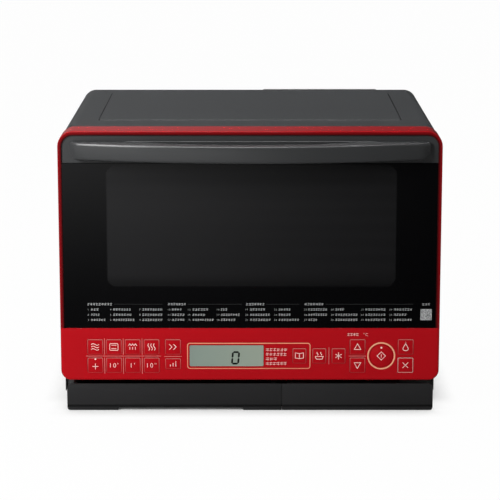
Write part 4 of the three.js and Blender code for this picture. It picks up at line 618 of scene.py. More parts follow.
def perforated_glass():
    """Dark glass over a steel screen. With cell = fract(p / pitch), a point is in a hole where the
    distance of its cell from (0.5, 0.5) is under the hole's share of the pitch."""
    material, tree, shader, place = new_finish("heatproof_glass_over_screen", "#141415", 0.08, **{
        "IOR": 1.5, "Specular IOR Level": 0.4})
    pitch = 2.4 * mm  # coarser than the real 1.2, so that the holes show
    hole_share = 0.33
    border_softness = 1 * mm
    grid = add_node(tree, "ShaderNodeVectorMath", {0: place, 1: (pitch, 1.0, pitch)}, operation="DIVIDE")
    cell = add_node(tree, "ShaderNodeVectorMath", {0: grid.outputs[0]}, operation="FRACTION")
    from_middle = add_node(tree, "ShaderNodeVectorMath", {
        0: cell.outputs[0], 1: (0.5, 0.0, 0.5)}, operation="SUBTRACT")
    flat = add_node(tree, "ShaderNodeVectorMath", {
        0: from_middle.outputs[0], 1: (1.0, 0.0, 1.0)}, operation="MULTIPLY").outputs[0]
    away = add_node(tree, "ShaderNodeVectorMath", {0: flat}, operation="LENGTH").outputs["Value"]
    hole = add_node(tree, "ShaderNodeMath", {0: away, 1: hole_share}, operation="LESS_THAN").outputs[0]
    window = window_share(tree, place, window_radius, border_softness)
    both = add_node(tree, "ShaderNodeMath", {0: hole, 1: window}, operation="MULTIPLY").outputs[0]
    steel = add_node(tree, "ShaderNodeMix", {
        "Factor": window, "A": linear("#0A0A0B"), "B": linear("#3A3A3C")}, data_type="RGBA")
    shade = add_node(tree, "ShaderNodeMix", {
        "Factor": both, "A": steel.outputs["Result"], "B": linear(glass_black)}, data_type="RGBA")
    tree.links.new(shade.outputs["Result"], shader.inputs["Base Color"])
    return material


screen_glass = perforated_glass()
lamp_glass = see_through("frosted_lamp_glass", "#E8E6DC", 0.35, 0.6)
print("glasses:", float_glass.name, screen_glass.name, lamp_glass.name)

# %% [markdown]
# ## Liquid crystal, circuit board
#
# The display is a reflective liquid crystal: a grey-green, matt film over glass, a little paler
# towards the right. The circuit boards are hidden behind the panel and the cabinet, but still have
# their solder mask and tracks.

# %% Display and board
display_low, display_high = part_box("display_window")
crystal_green, mask_green = "#96A596", "#1F5A38"
brick = 8 * mm


def liquid_crystal():
    """Grey-green film whose tone rises slowly to the right."""
    material, tree, shader, place = new_finish("reflective_liquid_crystal", crystal_green, 0.22, IOR=1.49)
    across = add_node(tree, "ShaderNodeSeparateXYZ", {"Vector": place}).outputs["X"]
    tone = add_node(tree, "ShaderNodeMapRange", {
        "Value": across, "From Min": display_low.x, "From Max": display_high.x})
    shade = add_node(tree, "ShaderNodeMix", {
        "Factor": tone.outputs["Result"], "A": linear("#84938A"), "B": linear("#97A294")},
        data_type="RGBA")
    tree.links.new(shade.outputs["Result"], shader.inputs["Base Color"])
    return material


def circuit_board():
    """Green solder mask: a brick pattern in two greens, with paler tracks where bricks meet."""
    material, tree, shader, place = new_finish("solder_mask_green", mask_green, 0.4, IOR=1.5)
    turned = add_node(tree, "ShaderNodeMapping", {
        "Vector": place, "Rotation": (math.pi / 2, 0, 0)}).outputs["Vector"]
    tracks = add_node(tree, "ShaderNodeTexBrick", {
        "Vector": turned, "Scale": 1 / brick, "Color1": linear(mask_green),
        "Color2": linear("#27693F"), "Mortar": linear("#8A9A5A"), "Mortar Size": 0.03})
    tree.links.new(tracks.outputs["Color"], shader.inputs["Base Color"])
    return material


display_crystal = liquid_crystal()
solder_mask = circuit_board()
print("display", in_mm(display_high.x - display_low.x, display_high.z - display_low.z))

# %% [markdown]
# ## A finish for every CAD node
#
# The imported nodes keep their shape; each one only gets its finish here.

# %% Assign finishes
finished_nodes = (
    (charcoal_powder_coat, "outer_cabinet"), (dark_powder_coat, "rear_cover base_pan inner_panel"),
    (grey_enamel, "cavity_liner"), (black_ceramic, "table_plate"), (red_lacquer, "door_frame"),
    (float_glass, "front_glass"), (screen_glass, "inner_glass"), (display_crystal, "display_window"),
    (charcoal_abs, "handle latch_left latch_right"), (black_drawer, "drip_tray feed_water_tank"),
    (solder_mask, "inverter_board control_board"), (lamp_glass, "oven_lamp"),
    (zinc_steel, "waveguide antenna_motor convection_casing hinge_bracket_left hinge_bracket_right"),
    (cast_aluminium, "magnetron weight_sensor_left weight_sensor_right weight_sensor_rear antenna"),
    (cast_aluminium, "convection_fan grill_heater steam_boiler"),
    (heater_steel, "convection_motor convection_heater"), (black_rubber, "cord_gland"),
    (black_polyamide, "fan_housing cooling_fan water_pump switch_bracket"),
)
finish_of = {name: finish for finish, names in finished_nodes for name in names.split()}
family_finish = {"foot": black_rubber, "key": red_lacquer}
for node_name, part in nodes.items():
    family = node_name.split("_")[0]
    part.material_slots[0].material = family_finish.get(family) or finish_of[node_name]
print("finishes on", len(nodes), "nodes")

# %% [markdown]
# ## Thin solids for print and trim
#
# A printed line has a thickness of a few hundredths of a millimetre. It could be painted with a
# texture, but a thin solid keeps its edge sharp at any zoom and rides on its own key when that key
# is pressed. Three shapes are enough: a strip carried along a path, a plate from an outline, and
# many upright bars at once. All three are worked out as whole arrays.


# %% Strip, plate and bars
def mitres(path, closed):
    """The way to the left at each point: (a + b) / (1 + a.b), where a and b are the left normals of
    the segments before and after it. It is longer than 1 at a corner, so that a width holds."""
    before = path - np.roll(path, 1, axis=0)
    after = np.roll(path, -1, axis=0) - path
    if not closed:
        before[0] = after[0]
        after[-1] = before[-1]
    a, b = [np.stack([-way[:, 1], way[:, 0]], 1) / np.hypot(way[:, 0], way[:, 1])[:, None]
            for way in (before, after)]
    return (a + b) / (1 + np.sum(a * b, axis=1, keepdims=True))


def swept(path, section, closed):
    """A closed section carried along a path of (x, z) points.

    Row k holds the path moved by section[k][0] along its mitres, at the depth section[k][1]. The
    rows are joined round the section and along the path; open ends get a cap.
    """
    path = np.asarray(path, float)
    left = mitres(path, closed)
    points = np.concatenate([
        np.insert(path + left * side, 1, depth, axis=1) for side, depth in section])
    rows, count = len(section), len(path)
    k = np.arange(rows)[:, None]
    i = np.arange(count if closed else count - 1)[None, :]
    j, above = (i + 1) % count, (k + 1) % rows
    corners = above * count + i, above * count + j, k * count + j, k * count + i
    faces = np.stack(np.broadcast_arrays(*corners), -1).reshape(-1, 4).tolist()
    if not closed:
        ends = np.arange(rows) * count
        faces += [ends[::-1].tolist(), (ends + count - 1).tolist()]
    return points, faces


def strip(path, width, front, back, closed=False):
    """A flat strip along a path: a rectangle as section, as wide as the strip."""
    half = width / 2
    return swept(path, [(half, front), (-half, front), (-half, back), (half, back)], closed)


def domed_strip(path, width, rise, seat, closed=False, steps=7):
    """A strip with a half ellipse as section: side = cos(t) half width, depth = seat - sin(t) rise.

    A negative rise stands out to the rear, and its section then runs the other way round.
    """
    bow = np.linspace(0, math.pi, steps)
    section = np.stack([np.cos(bow) * width / 2, seat - np.sin(bow) * rise], 1)
    return swept(path, section if rise > 0 else section[::-1], closed)


def plate(outline, front, back):
    """A flat plate: an outline of (x, z) points, counterclockwise from the front, at two depths."""
    outline = np.asarray(outline, float)
    points = np.concatenate([np.insert(outline, 1, depth, axis=1) for depth in (front, back)])
    i = np.arange(len(outline))
    j = np.roll(i, -1)
    sides = np.stack([i, i + len(i), j + len(i), j], 1).tolist()
    return points, [i.tolist(), (i[::-1] + len(i)).tolist()] + sides


def bars(left, right, low, high, front, back):
    """Upright bars: arrays of their edges give eight corners and six faces for each."""
    corner_x = np.stack([left, right, right, left] * 2, 1)
    corner_z = np.stack([low, low, high, high] * 2, 1)
    corner_y = np.broadcast_to(np.repeat([front, back], 4), corner_x.shape)
    one = np.array([(0, 1, 2, 3), (7, 6, 5, 4), (0, 4, 5, 1), (1, 5, 6, 2), (2, 6, 7, 3), (3, 7, 4, 0)])
    faces = one[None] + 8 * np.arange(len(corner_x))[:, None, None]
    return np.stack([corner_x, corner_y, corner_z], 2).reshape(-1, 3), faces.reshape(-1, 4).tolist()


def joined(parts):
    """Several (points, faces) as one; each part's face numbers move on past the points before it."""
    starts = np.cumsum([0] + [len(points) for points, faces in parts]).tolist()
    joined_faces = [[start + k for k in face]
                    for (points, faces), start in zip(parts, starts) for face in faces]
    return np.concatenate([points for points, faces in parts]), joined_faces


def rounded_rectangle(centre, size, radius, steps=5):
    """Corner c is an arc about a centre at half - radius, from c to c + 1 quarter turns."""
    quarter = np.arange(4)[:, None] * math.pi / 2
    turn = quarter + np.linspace(0, math.pi / 2, steps)[None, :]
    corner = np.sign(np.stack([np.cos(quarter + math.pi / 4), np.sin(quarter + math.pi / 4)], -1))
    arc = np.stack([np.cos(turn), np.sin(turn)], -1) * radius
    return (corner * (np.array(size) / 2 - radius) + arc).reshape(-1, 2) + centre


def circle(centre, radius, steps=32):
    """Points at equal turns, counterclockwise from the front."""
    turn = np.arange(steps) * 2 * math.pi / steps
    return np.stack([np.cos(turn), np.sin(turn)], 1) * radius + centre


def put_piece(name, solid, finish, slot, body, **attributes):
    """A mesh object from (points, faces) that rides on its body; an attribute has a value per point."""
    points, faces = solid
    mesh = bpy.data.meshes.new(name)
    mesh.from_pydata(points.tolist(), [], faces)
    for attribute, values in attributes.items():
        layer = mesh.attributes.new(attribute, "FLOAT", "POINT")
        layer.data.foreach_set("value", np.broadcast_to(values, len(points)).astype(np.float32))
    mesh.materials.append(finish)
    piece = bpy.data.objects.new(name, mesh)
    bpy.context.collection.objects.link(piece)
    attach(piece, body)


test_points, test_faces = strip(circle((0, 0), 10), 1, 0, 1, closed=True)
print("a test ring has", len(test_points), "points and", len(test_faces), "faces")

# %% [markdown]
# ## Inks
#
# The marks on the red panel are screen-printed under a clear film: a warm white for the symbols,
# and a peach-coloured pearl ink for the frame round the display and the start ring. The outlines
# of the keys and the frame carry a painted highlight: their ink is strongest at the top, where
# light from above falls, and fades downwards. Each point carries a number, `ink`, which holds print,
# painted light and painted shade alike, and the colour runs from the panel's red at 0 to the full ink at
# 1.


# %% Ink finishes
screen_grain = 0.9 * mm


def printed_ink(name, colour, under, roughness, specular, thinnest=0.9):
    """Ink over a ground: the point attribute ink, times a screen-print grain, mixes the two colours."""
    material, tree, shader, place = new_finish(name, colour, roughness, **{
        "Specular IOR Level": specular})
    amount = add_node(tree, "ShaderNodeAttribute", attribute_name="ink").outputs["Fac"]
    grain = add_node(tree, "ShaderNodeTexNoise", {"Vector": place, "Scale": 1 / screen_grain})
    cover = add_node(tree, "ShaderNodeMapRange", {
        "Value": grain.outputs["Fac"], "To Min": thinnest, "To Max": 1.0})
    share = add_node(tree, "ShaderNodeMath", {
        0: amount, 1: cover.outputs["Result"]}, operation="MULTIPLY")
    shade = add_node(tree, "ShaderNodeMix", {
        "Factor": share.outputs[0], "A": linear(under), "B": linear(colour)}, data_type="RGBA")
    tree.links.new(shade.outputs["Result"], shader.inputs["Base Color"])
    return material


warm_white_ink = printed_ink("warm_white_screen_ink", "#FBDCD4", panel_red, 0.45, 0.2)
peach_ink = printed_ink("peach_pearl_screen_ink", "#F0AE8A", panel_red, 0.35, 0.3)
grey_ink = printed_ink("pale_grey_ceramic_ink", "#C4C6C7", glass_black, 0.5, 0.2)
black_segment = printed_ink("black_crystal_segment", "#0B0E0C", crystal_green, 0.3, 0.1, 0.995)
print("inks:", warm_white_ink.name, peach_ink.name, grey_ink.name)

# %% [markdown]
# ## Keys
#
# Each key has a hair-thin outline with a painted highlight, bright along the top and fading down its
# sides, and a symbol for what it does. The outline lies on the cap, just inside its edge, so that it
# clears the panel when the key goes in. A symbol is a few strokes in a small field round the key's
# middle, in units of about a millimetre, so that it can be drawn once and set on any key.

# %% Where the keys are
key_boxes = {name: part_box(name) for name in nodes if name.startswith("key_")}


def middle_of(node_name):
    """The middle of a key as (x, z)."""
    low, high = key_boxes[node_name]
    return np.array([(low.x + high.x) / 2, (low.z + high.z) / 2])


print("start key at", in_mm(*middle_of("key_start")))

# %% Symbols
ink_height = 0.04 * mm
stroke_width = 0.75 * mm
symbol_scale = 1.18 * mm
wave_turns = np.linspace(0, 2 * math.pi, 17)


def wave(middle, length, swing, upright=False):
    """One period of a sine along x, or along z when upright, with its middle at the given place."""
    along = wave_turns / (2 * math.pi) * length - length / 2
    path = np.stack([along, np.sin(wave_turns) * swing], 1)
    return (path[:, ::-1] if upright else path) + middle


def line(*points):
    """A stroke through the given (x, z) points."""
    return np.array(points, float)


# the drop: x = cos(t) (1 - sin(t)) width, z = sin(t) height, from its foot round to its foot
drop_turns = np.linspace(-math.pi * 0.5, math.pi * 1.5, 25)[:-1]
drop = np.stack([np.cos(drop_turns) * (1 - np.sin(drop_turns)) * 2.2, np.sin(drop_turns) * 4.2], 1)
zigzag = line((-4.5, 1.6), (-3, 3.6), (-1.5, 1.6), (0, 3.6), (1.5, 1.6), (3, 3.6), (4.5, 1.6))
bowl = line((-4.5, -0.6), (-3, -3.6), (3, -3.6), (4.5, -0.6), (-4.5, -0.6))
pages = [line((0, 2.6), (side, 3.4), (side, -2.4), (0, -3)) for side in (-4.4, 4.4)]
spokes = [line((-4 * math.cos(turn), -4 * math.sin(turn)), (4 * math.cos(turn), 4 * math.sin(turn)))
          for turn in (math.pi / 2, math.pi / 6, -math.pi / 6)]
chevrons = [line((left, 3), (left + 3, 0), (left, -3)) for left in (-4, 0.6)]
rising_bars = [line((across, -3), (across, top)) for across, top in ((-3, -0.8), (0, 1), (3, 3))]
# each symbol: its open strokes, then its closed ones
symbols = {
    "key_microwave": ([wave((0, height), 8.4, 0.9) for height in (-2.8, 0, 2.8)], []),
    "key_oven": ([line((-2.8, 2), (2.8, 2)), line((-2.8, -2), (2.8, -2))],
                 [rounded_rectangle((0, 0), (9, 7.6), 1.2)]),
    "key_grill": ([zigzag, *(line((across, 0), (across, -3)) for across in (-3, 0, 3))], []),
    "key_steam": ([wave((across, 0), 7.6, 0.9, upright=True) for across in (-3, 0, 3)], []),
    "key_add_time": ([line((-3.2, -1.4), (3.2, -1.4)), line((0, -4.6), (0, 1.8))], []),
    "key_quick": (chevrons, []),
    "key_doneness": (rising_bars, []),
    "key_recipes": ([line((0, -3), (0, 2.6)), *pages], []),
    "key_reheat": ([bowl, *(wave((across, 2.4), 3.8, 0.6, upright=True) for across in (-2, 2))], []),
    "key_defrost": (spokes, []),
    "key_up": ([], [line((-3.6, -2.8), (3.6, -2.8), (0, 3.6))]),
    "key_down": ([], [line((-3.6, 2.8), (0, -3.6), (3.6, 2.8))]),
    "key_start": ([line((0, -1.8), (0, 1.8))], [line((0, 4.6), (-4.6, 0), (0, -4.6), (4.6, 0))]),
    "key_care": ([], [drop]),
    "key_cancel": ([line((-3, -3), (3, 3)), line((-3, 3), (3, -3))], []),
}
key_texts = {"key_ten_minutes": "10'", "key_one_minute": "1'", "key_ten_seconds": '10"'}
print(len(symbols), "keys with a symbol,", len(key_texts), "with a number")


# %% Text as a mesh
digit_share = 0.73  # of the font's size that a digit is high


def written(text, middle, height, front, back):
    """Numbers as a solid: Blender's own font, extruded, stood up to face the front, round its middle."""
    curve = bpy.data.curves.new("number", "FONT")
    curve.body = text
    curve.offset = -0.012
    curve.space_character = 1.3
    curve.resolution_u = 3
    curve.extrude = 0.5
    holder = bpy.data.objects.new("number", curve)
    bpy.context.collection.objects.link(holder)
    bpy.context.view_layer.update()
    mesh = bpy.data.meshes.new_from_object(holder.evaluated_get(bpy.context.evaluated_depsgraph_get()))
    flat = np.empty(len(mesh.vertices) * 3, np.float32)
    mesh.vertices.foreach_get("co", flat)
    faces = [list(polygon.vertices) for polygon in mesh.polygons]
    bpy.data.objects.remove(holder)
    bpy.data.curves.remove(curve)
    bpy.data.meshes.remove(mesh)
    letters = flat.reshape(-1, 3).astype(float)
    centre = (letters[:, 0].max() + letters[:, 0].min()) / 2
    scale = height / digit_share
    across = (letters[:, 0] - centre) * scale + middle[0]
    up = (letters[:, 1] - digit_share / 2) * scale + middle[1]
    depth = np.where(letters[:, 2] > 0, front, back)
    return np.stack([across, depth, up], 1), faces


print("the number 10 has", len(written("10", (0, 0), 1, 0, 1)[1]), "faces")

# %% Prints on the keys
key_text_height = 6.2 * mm
outline_inset, outline_width, outline_radius = 1.6 * mm, 0.7 * mm, 1.2 * mm


def key_outline(node_name):
    """A closed strip that runs just inside a key's edge, and how high each point is on the key."""
    low, high = key_boxes[node_name]
    size = (high.x - low.x - 2 * outline_inset, high.z - low.z - 2 * outline_inset)
    path = rounded_rectangle(middle_of(node_name), size, outline_radius)
    points, faces = strip(path, outline_width, low.y - ink_height, low.y, closed=True)
    return (points, faces), (points[:, 2] - low.z) / (high.z - low.z)


for node_name, (low, high) in key_boxes.items():
    middle = middle_of(node_name)
    front, back = low.y - ink_height, low.y
    if node_name in key_texts:
        symbol = written(key_texts[node_name], middle, key_text_height, front, back)
    else:
        symbol = joined([strip(path * symbol_scale + middle, stroke_width, front, back, closed)
                         for closed, paths in enumerate(symbols[node_name]) for path in paths])
    put_piece(node_name + "_symbol", symbol, warm_white_ink, "red_abs", node_name, ink=1.0)
    if node_name == "key_start":
        continue
    outline, rise = key_outline(node_name)
    # the cancel key's outline is printed stronger; every outline gets a painted highlight, its ink
    # strongest along the top
    ink = 0.42 + 0.28 * rise if node_name == "key_cancel" else 0.02 + 0.15 * rise + 0.28 * rise ** 12
    put_piece(node_name + "_outline", outline, warm_white_ink, "red_abs", node_name, ink=ink)
print("keys printed:", len(key_boxes))

# %% [markdown]
# ## Lines, lights and frame on the panel
#
# Between the keys run short dividing lines, and a rounded peach frame holds the display together
# with the recipe key. The start key carries a broad ring of the same ink, slightly domed, because it
# is laid on thicker. The small white dots are light guides for the indicator lamps.

# %% Dividing lines
panel_face = door_face
panel_ink = panel_face - ink_height
line_width = 0.6 * mm
crossing_gap = 2 * mm  # between the upright lines and the level one that they would cross


def dividing_line(start, end):
    """A printed line on the panel from one (x, z) point to another."""
    return strip([start, end], line_width, panel_ink, panel_face)


upper_row = [middle_of("key_" + name)[0] for name in ("microwave", "oven", "grill", "steam")]
row_top, row_bottom = key_boxes["key_microwave"][1].z, key_boxes["key_add_time"][0].z
row_gap = (key_boxes["key_microwave"][0].z + key_boxes["key_add_time"][1].z) / 2
half_pitch = (upper_row[1] - upper_row[0]) / 2
dividers = []
for first, second in zip(upper_row[:-1], upper_row[1:]):
    across = (first + second) / 2
    dividers.append(dividing_line((across, row_bottom), (across, row_gap - crossing_gap)))
    dividers.append(dividing_line((across, row_gap + crossing_gap), (across, row_top)))
dividers.append(dividing_line((upper_row[0] - half_pitch, row_gap), (upper_row[-1] + half_pitch, row_gap)))
for above, below in (("key_quick", "key_doneness"), ("key_up", "key_down")):
    low, high = key_boxes[above]
    height = (low.z + key_boxes[below][1].z) / 2
    dividers.append(dividing_line((low.x, height), (high.x, height)))
low, high = key_boxes["key_reheat"]
across = (high.x + key_boxes["key_defrost"][0].x) / 2
dividers.append(dividing_line((across, low.z), (across, high.z)))
put_piece("key_dividers", joined(dividers), warm_white_ink, "red_abs", "door", ink=0.3)
print("dividing lines:", len(dividers))

# %% Ring round the start key
start_low, start_high = key_boxes["key_start"]
ring_gap, ring_width, ring_rise = 1.3 * mm, 1.9 * mm, 0.35 * mm
ring_radius = (start_high.x - start_low.x) / 2 + ring_gap
ring = domed_strip(circle(middle_of("key_start"), ring_radius, 72), ring_width, ring_rise, panel_face,
                   closed=True)
put_piece("start_ring", ring, peach_ink, "red_abs", "door", ink=1.0)
print("ring radius:", in_mm(ring_radius))

# %% Frame round the display
recipes_high = key_boxes["key_recipes"][1]
gap_left, gap_right, gap_upright = 2.6 * mm, 3.7 * mm, 2.8 * mm
frame_left, frame_right = display_low.x - gap_left, recipes_high.x + gap_right
frame_bottom, frame_top = display_low.z - gap_upright, display_high.z + gap_upright
frame_width, frame_radius = 1.1 * mm, 3 * mm
frame_path = rounded_rectangle(((frame_left + frame_right) / 2, (frame_bottom + frame_top) / 2),
                               (frame_right - frame_left, frame_top - frame_bottom), frame_radius)
points, faces = strip(frame_path, frame_width, panel_ink, panel_face, closed=True)
rise = (points[:, 2] - frame_bottom) / (frame_top - frame_bottom)
# the frame's ink grows towards its top: a painted highlight, as on the key outlines
put_piece("display_frame", (points, faces), peach_ink, "red_abs", "door", ink=0.62 + 0.28 * rise)
print("frame:", in_mm(frame_right - frame_left, frame_top - frame_bottom))

# %% Light guides
guide_rise = 0.1 * mm
below_top, above_middle = 3.1 * mm, 10.9 * mm
add_low, add_high = key_boxes["key_add_time"]
add_place = (middle_of("key_add_time")[0], add_high.z - below_top)
start_place = middle_of("key_start") + (0, above_middle)
for name, place, radius, seat, body in (
        ("add_time_light", add_place, 1.15 * mm, add_low.y, "key_add_time"),
        ("start_light", start_place, 1.25 * mm, start_low.y, "key_start")):
    dot = plate(circle(place, radius, 20), seat - guide_rise, seat)
    put_piece(name, dot, warm_white_ink, "red_abs", body, ink=1.0)
    print(name, "at", in_mm(*place))

# %% [markdown]
# ## Display digit
#
# A liquid crystal digit has seven segments; a nought lights six of them. Each segment is a bar with
# pointed ends, and the whole digit leans a little to the right, as such digits do.

# %% Seven segments
digit_left, digit_right = -24.6 * mm, -14.2 * mm
digit_bottom, digit_top = 62.0 * mm, 79.6 * mm
segment_width, segment_height = 2.4 * mm, 0.03 * mm
segment_gap_share = 0.02
digit_lean = math.tan(math.radians(5))
crystal_face = display_low.y


def segment(start, end):
    """A bar from start to end with a point of half its width at both ends, as six (x, z) points."""
    along = (end - start) / np.hypot(*(end - start))
    side = np.array([-along[1], along[0]])
    half = segment_width / 2
    return np.array([start, start + (along - side) * half, end - (along + side) * half, end,
                     end - (along - side) * half, start + (along + side) * half])


# the six corners, from the lower left to the upper right, and the pairs that a nought joins
levels = (digit_bottom + segment_width / 2, (digit_bottom + digit_top) / 2, digit_top - segment_width / 2)
sides = (digit_left + segment_width / 2, digit_right - segment_width / 2)
corners = np.array([(side, level) for level in levels for side in sides])
lit = [(0, 1), (1, 3), (3, 5), (4, 5), (2, 4), (0, 2)]
parts = []
for first, last in lit:
    start, end = corners[first], corners[last]
    gap = (end - start) * segment_gap_share
    outline = segment(start + gap, end - gap)
    outline[:, 0] += (outline[:, 1] - digit_bottom) * digit_lean
    parts.append(plate(outline, crystal_face - segment_height, crystal_face))
put_piece("display_digit", joined(parts), black_segment, "display_glass", "door", ink=1.0)
print("segments lit:", len(lit))

# %% [markdown]
# ## Small print
#
# The glass carries a table of the numbered programmes. The numbers are written out; the words are
# drawn as generic strokes, two level ones and an upright one for each character, at places taken
# from a seeded random table. Some eight hundred tiny bars in one mesh cost less than one text per
# word.

# %% Word-like strokes
random_table = np.random.default_rng(36)
cell_share, stroke_share, ink_share = 1.12, 0.15, 0.86  # of a character's height, height and cell


def word_marks(start, length, middle, height, front, back):
    """Strokes for one run of characters, in mm; its cells are about as wide as the height, plus a gap."""
    start, length, middle, height = np.array([start, length, middle, height]) * mm
    count = max(int(round(length / (height * cell_share))), 1)
    cell = length / count
    left = start + np.arange(count) * cell
    right = left + cell * ink_share
    half = height * stroke_share / 2
    spread = random_table.random((4, count))
    upper = middle + height * (0.18 + 0.22 * spread[0])
    lower = middle - height * (0.12 + 0.26 * spread[1])
    indent = (right - left) * 0.22 * spread[2]
    upright = left + (right - left) * (0.3 + 0.4 * spread[3])
    foot, top = np.full(count, middle - height / 2), np.full(count, middle + height / 2)
    return joined([bars(left + indent, right, upper - half, upper + half, front, back),
                   bars(left, right - indent, lower - half, lower + half, front, back),
                   bars(upright - half, upright + half, foot, top, front, back)])


glass_face = glass_low.y
glass_ink = glass_face - ink_height
# all in mm: the heights of the three rows and of the headings over them
row_heights = (134.6, 127.7, 121.0)
heading_height = 141.6
number_size, word_size, heading_size = 2.3, 2.9, 3.1
half_digit = 0.75
# each column: where its numbers start, where its words start, and how long its three words are
columns = [
    (-208.2, -204.0, (10.6, 11.5, 19.3)), (-179.4, -175.6, (23.3, 24.1, 27.9)),
    (-141.9, -138.3, (26.4, 26.4, 26.4)), (-105.1, -100.3, (13.2, 16.8, 16.8)),
    (-79.5, -74.0, (21.0, 17.0, 27.9)), (-42.2, -37.6, (8.6, 24.8, 19.3)),
    (-5.8, -0.1, (19.8, 26.2, 27.0)), (31.2, 36.5, (15.9, 15.9, 27.0)),
    (69.9, 74.6, (24.7, 24.7, 11.9)), (104.0, 109.2, (11.6, 29.2, 29.2)),
    (142.6, 147.8, (26.2, 26.2, 26.2)), (178.9, 184.4, (23.9, 16.8, 23.9)),
]
# each heading: where it starts, how long it is, and where the hairline after it ends
headings = [(-208.5, 32.4, -112.0), (-105.3, 23.5, -10.5), (-5.0, 23.9, 62.7), (69.9, 24.6, 209.1)]
hairline_gap, hairline_width = 2, 0.35
patch_heading = (220.6, 10.4, 141.4, 2.7)  # its start, length, height and size
print("programmes:", len(columns) * len(row_heights))

# %% Programme table on the glass
parts = []
for column, (number_x, word_x, lengths) in enumerate(columns):
    for row, (height, length) in enumerate(zip(row_heights, lengths)):
        digits = str(column * len(row_heights) + row + 1)
        middle = ((number_x + half_digit * len(digits)) * mm, height * mm)
        parts.append(written(digits, middle, number_size * mm, glass_ink, glass_face))
        parts.append(word_marks(word_x, length, height, word_size, glass_ink, glass_face))
hairlines = []
for start, length, end in headings:
    parts.append(word_marks(start, length, heading_height, heading_size, glass_ink, glass_face))
    path = np.array([(start + length + hairline_gap, heading_height), (end, heading_height)]) * mm
    hairlines.append(strip(path, hairline_width * mm, glass_ink, glass_face))
parts.append(word_marks(*patch_heading, glass_ink, glass_face))
put_piece("programme_table", joined(parts), grey_ink, "black_glass", "door", ink=0.92)
put_piece("table_hairlines", joined(hairlines), grey_ink, "black_glass", "door", ink=0.06)
print("table points:", sum(len(points) for points, faces in parts))

# %% Small patch beside the table
patch_left, patch_bottom, patch_size = 219.0 * mm, 121.1 * mm, 13.6 * mm
patch_cells, dark_share = 17, 0.42
patch_border, patch_radius, cell_rise = 0.4 * mm, 0.4 * mm, 0.02 * mm
step = patch_size / patch_cells
rows, places = np.nonzero(random_table.random((patch_cells, patch_cells)) < dark_share)
patch_middle = (patch_left + patch_size / 2, patch_bottom + patch_size / 2)
outline = rounded_rectangle(patch_middle, (patch_size + 2 * patch_border,) * 2, patch_radius)
put_piece("pale_patch", plate(outline, glass_ink, glass_face), grey_ink, "black_glass", "door", ink=0.85)
cells = bars(patch_left + places * step, patch_left + (places + 1) * step, patch_bottom + rows * step,
             patch_bottom + (rows + 1) * step, glass_ink - cell_rise, glass_ink)
put_piece("patch_cells", cells, grey_ink, "black_glass", "door", ink=0.3)
print("patch cells:", len(rows))

# %% Words on the panel
# all in mm: where the lines beside the display start, their size, and each one's height and length
lines_start, lines_size = 20.4, 4.0
panel_lines = ((81.6, 28.0), (75.6, 27.2), (69.4, 15.0), (63.3, 27.2))
words = [word_marks(lines_start, length, height, lines_size, panel_ink, panel_face)
         for height, length in panel_lines]
# and the words over the upper arrow key: how far out they start, their length, height and size
degree_start, degree_length, degree_rise, degree_size = 2, 15, 5.2, 3.8
up_low, up_high = key_boxes["key_up"]
height = up_high.z / mm + degree_rise
words.append(word_marks(up_low.x / mm - degree_start, degree_length, height, degree_size, panel_ink,
                        panel_face))
words.append(written("°C", (up_high.x - 1 * mm, height * mm), degree_size * mm, panel_ink, panel_face))
put_piece("panel_words", joined(words), warm_white_ink, "red_abs", "door", ink=0.85)
print("panel words:", len(words))

# %% [markdown]
# ## Cove, pocket lip and door seal
#
# Between the red rim and the dark front runs a cove: a narrow slope that falls from the rim's face
# to the glass, with painted shade on it, so its colour runs from the panel's red to nearly black. A
# rounded lip guards the upper edge of the finger pocket behind the handle. On the inner side a soft
# black seal lies round the glass and closes on the cavity's flange. All three are a section carried
# along a path.

# %% Mouldings of the door
rim_width, cove_outward, cove_inward = 5.0 * mm, 4.3 * mm, 0.3 * mm
proud_inside, proud_middle, proud_outside = 0.1 * mm, 0.08 * mm, 0.05 * mm
strip_front = door_face + 2.0 * mm
side, crown, corner = door_high.x - rim_width, door_high.z - rim_width, 14.5 * mm
turn = np.linspace(0, math.pi / 2, 13)
arc = np.stack([np.cos(turn), np.sin(turn)], 1) * corner
right_half = np.concatenate([[(side, glass_low.z)], arc + (side - corner, crown - corner)])
path = np.concatenate([right_half, (right_half * (-1, 1))[::-1]])
section = [(cove_inward, glass_face - proud_inside), (0, door_face - proud_middle),
           (-cove_outward, door_face - proud_outside), (-cove_outward, strip_front),
           (cove_inward, strip_front)]
# the ink runs from nearly black at the glass to mostly red on the rim: painted shade
ink = np.repeat([0.03, 0.05, 0.6, 0.6, 0.03], len(path))
cove_painted_shade = printed_ink("red_cove_lacquer_painted_shade", panel_red, "#1E0506", 0.4, 0.06, 0.98)
put_piece("rim_cove", swept(path, section, closed=False), cove_painted_shade, "red_abs", "door", ink=ink)
print("cove:", in_mm(cove_outward + cove_inward), "wide")

# %% Pocket lip
lip_height, lip_reach = 351.1 * mm, 156 * mm
lip_width, lip_rise = 2.6 * mm, 0.8 * mm
lip = domed_strip([(lip_reach, lip_height), (-lip_reach, lip_height)], lip_width, lip_rise, strip_front)
put_piece("pocket_lip", lip, charcoal_abs, "grey_plastic", "door")
print("lip:", in_mm(2 * lip_reach, lip_width))

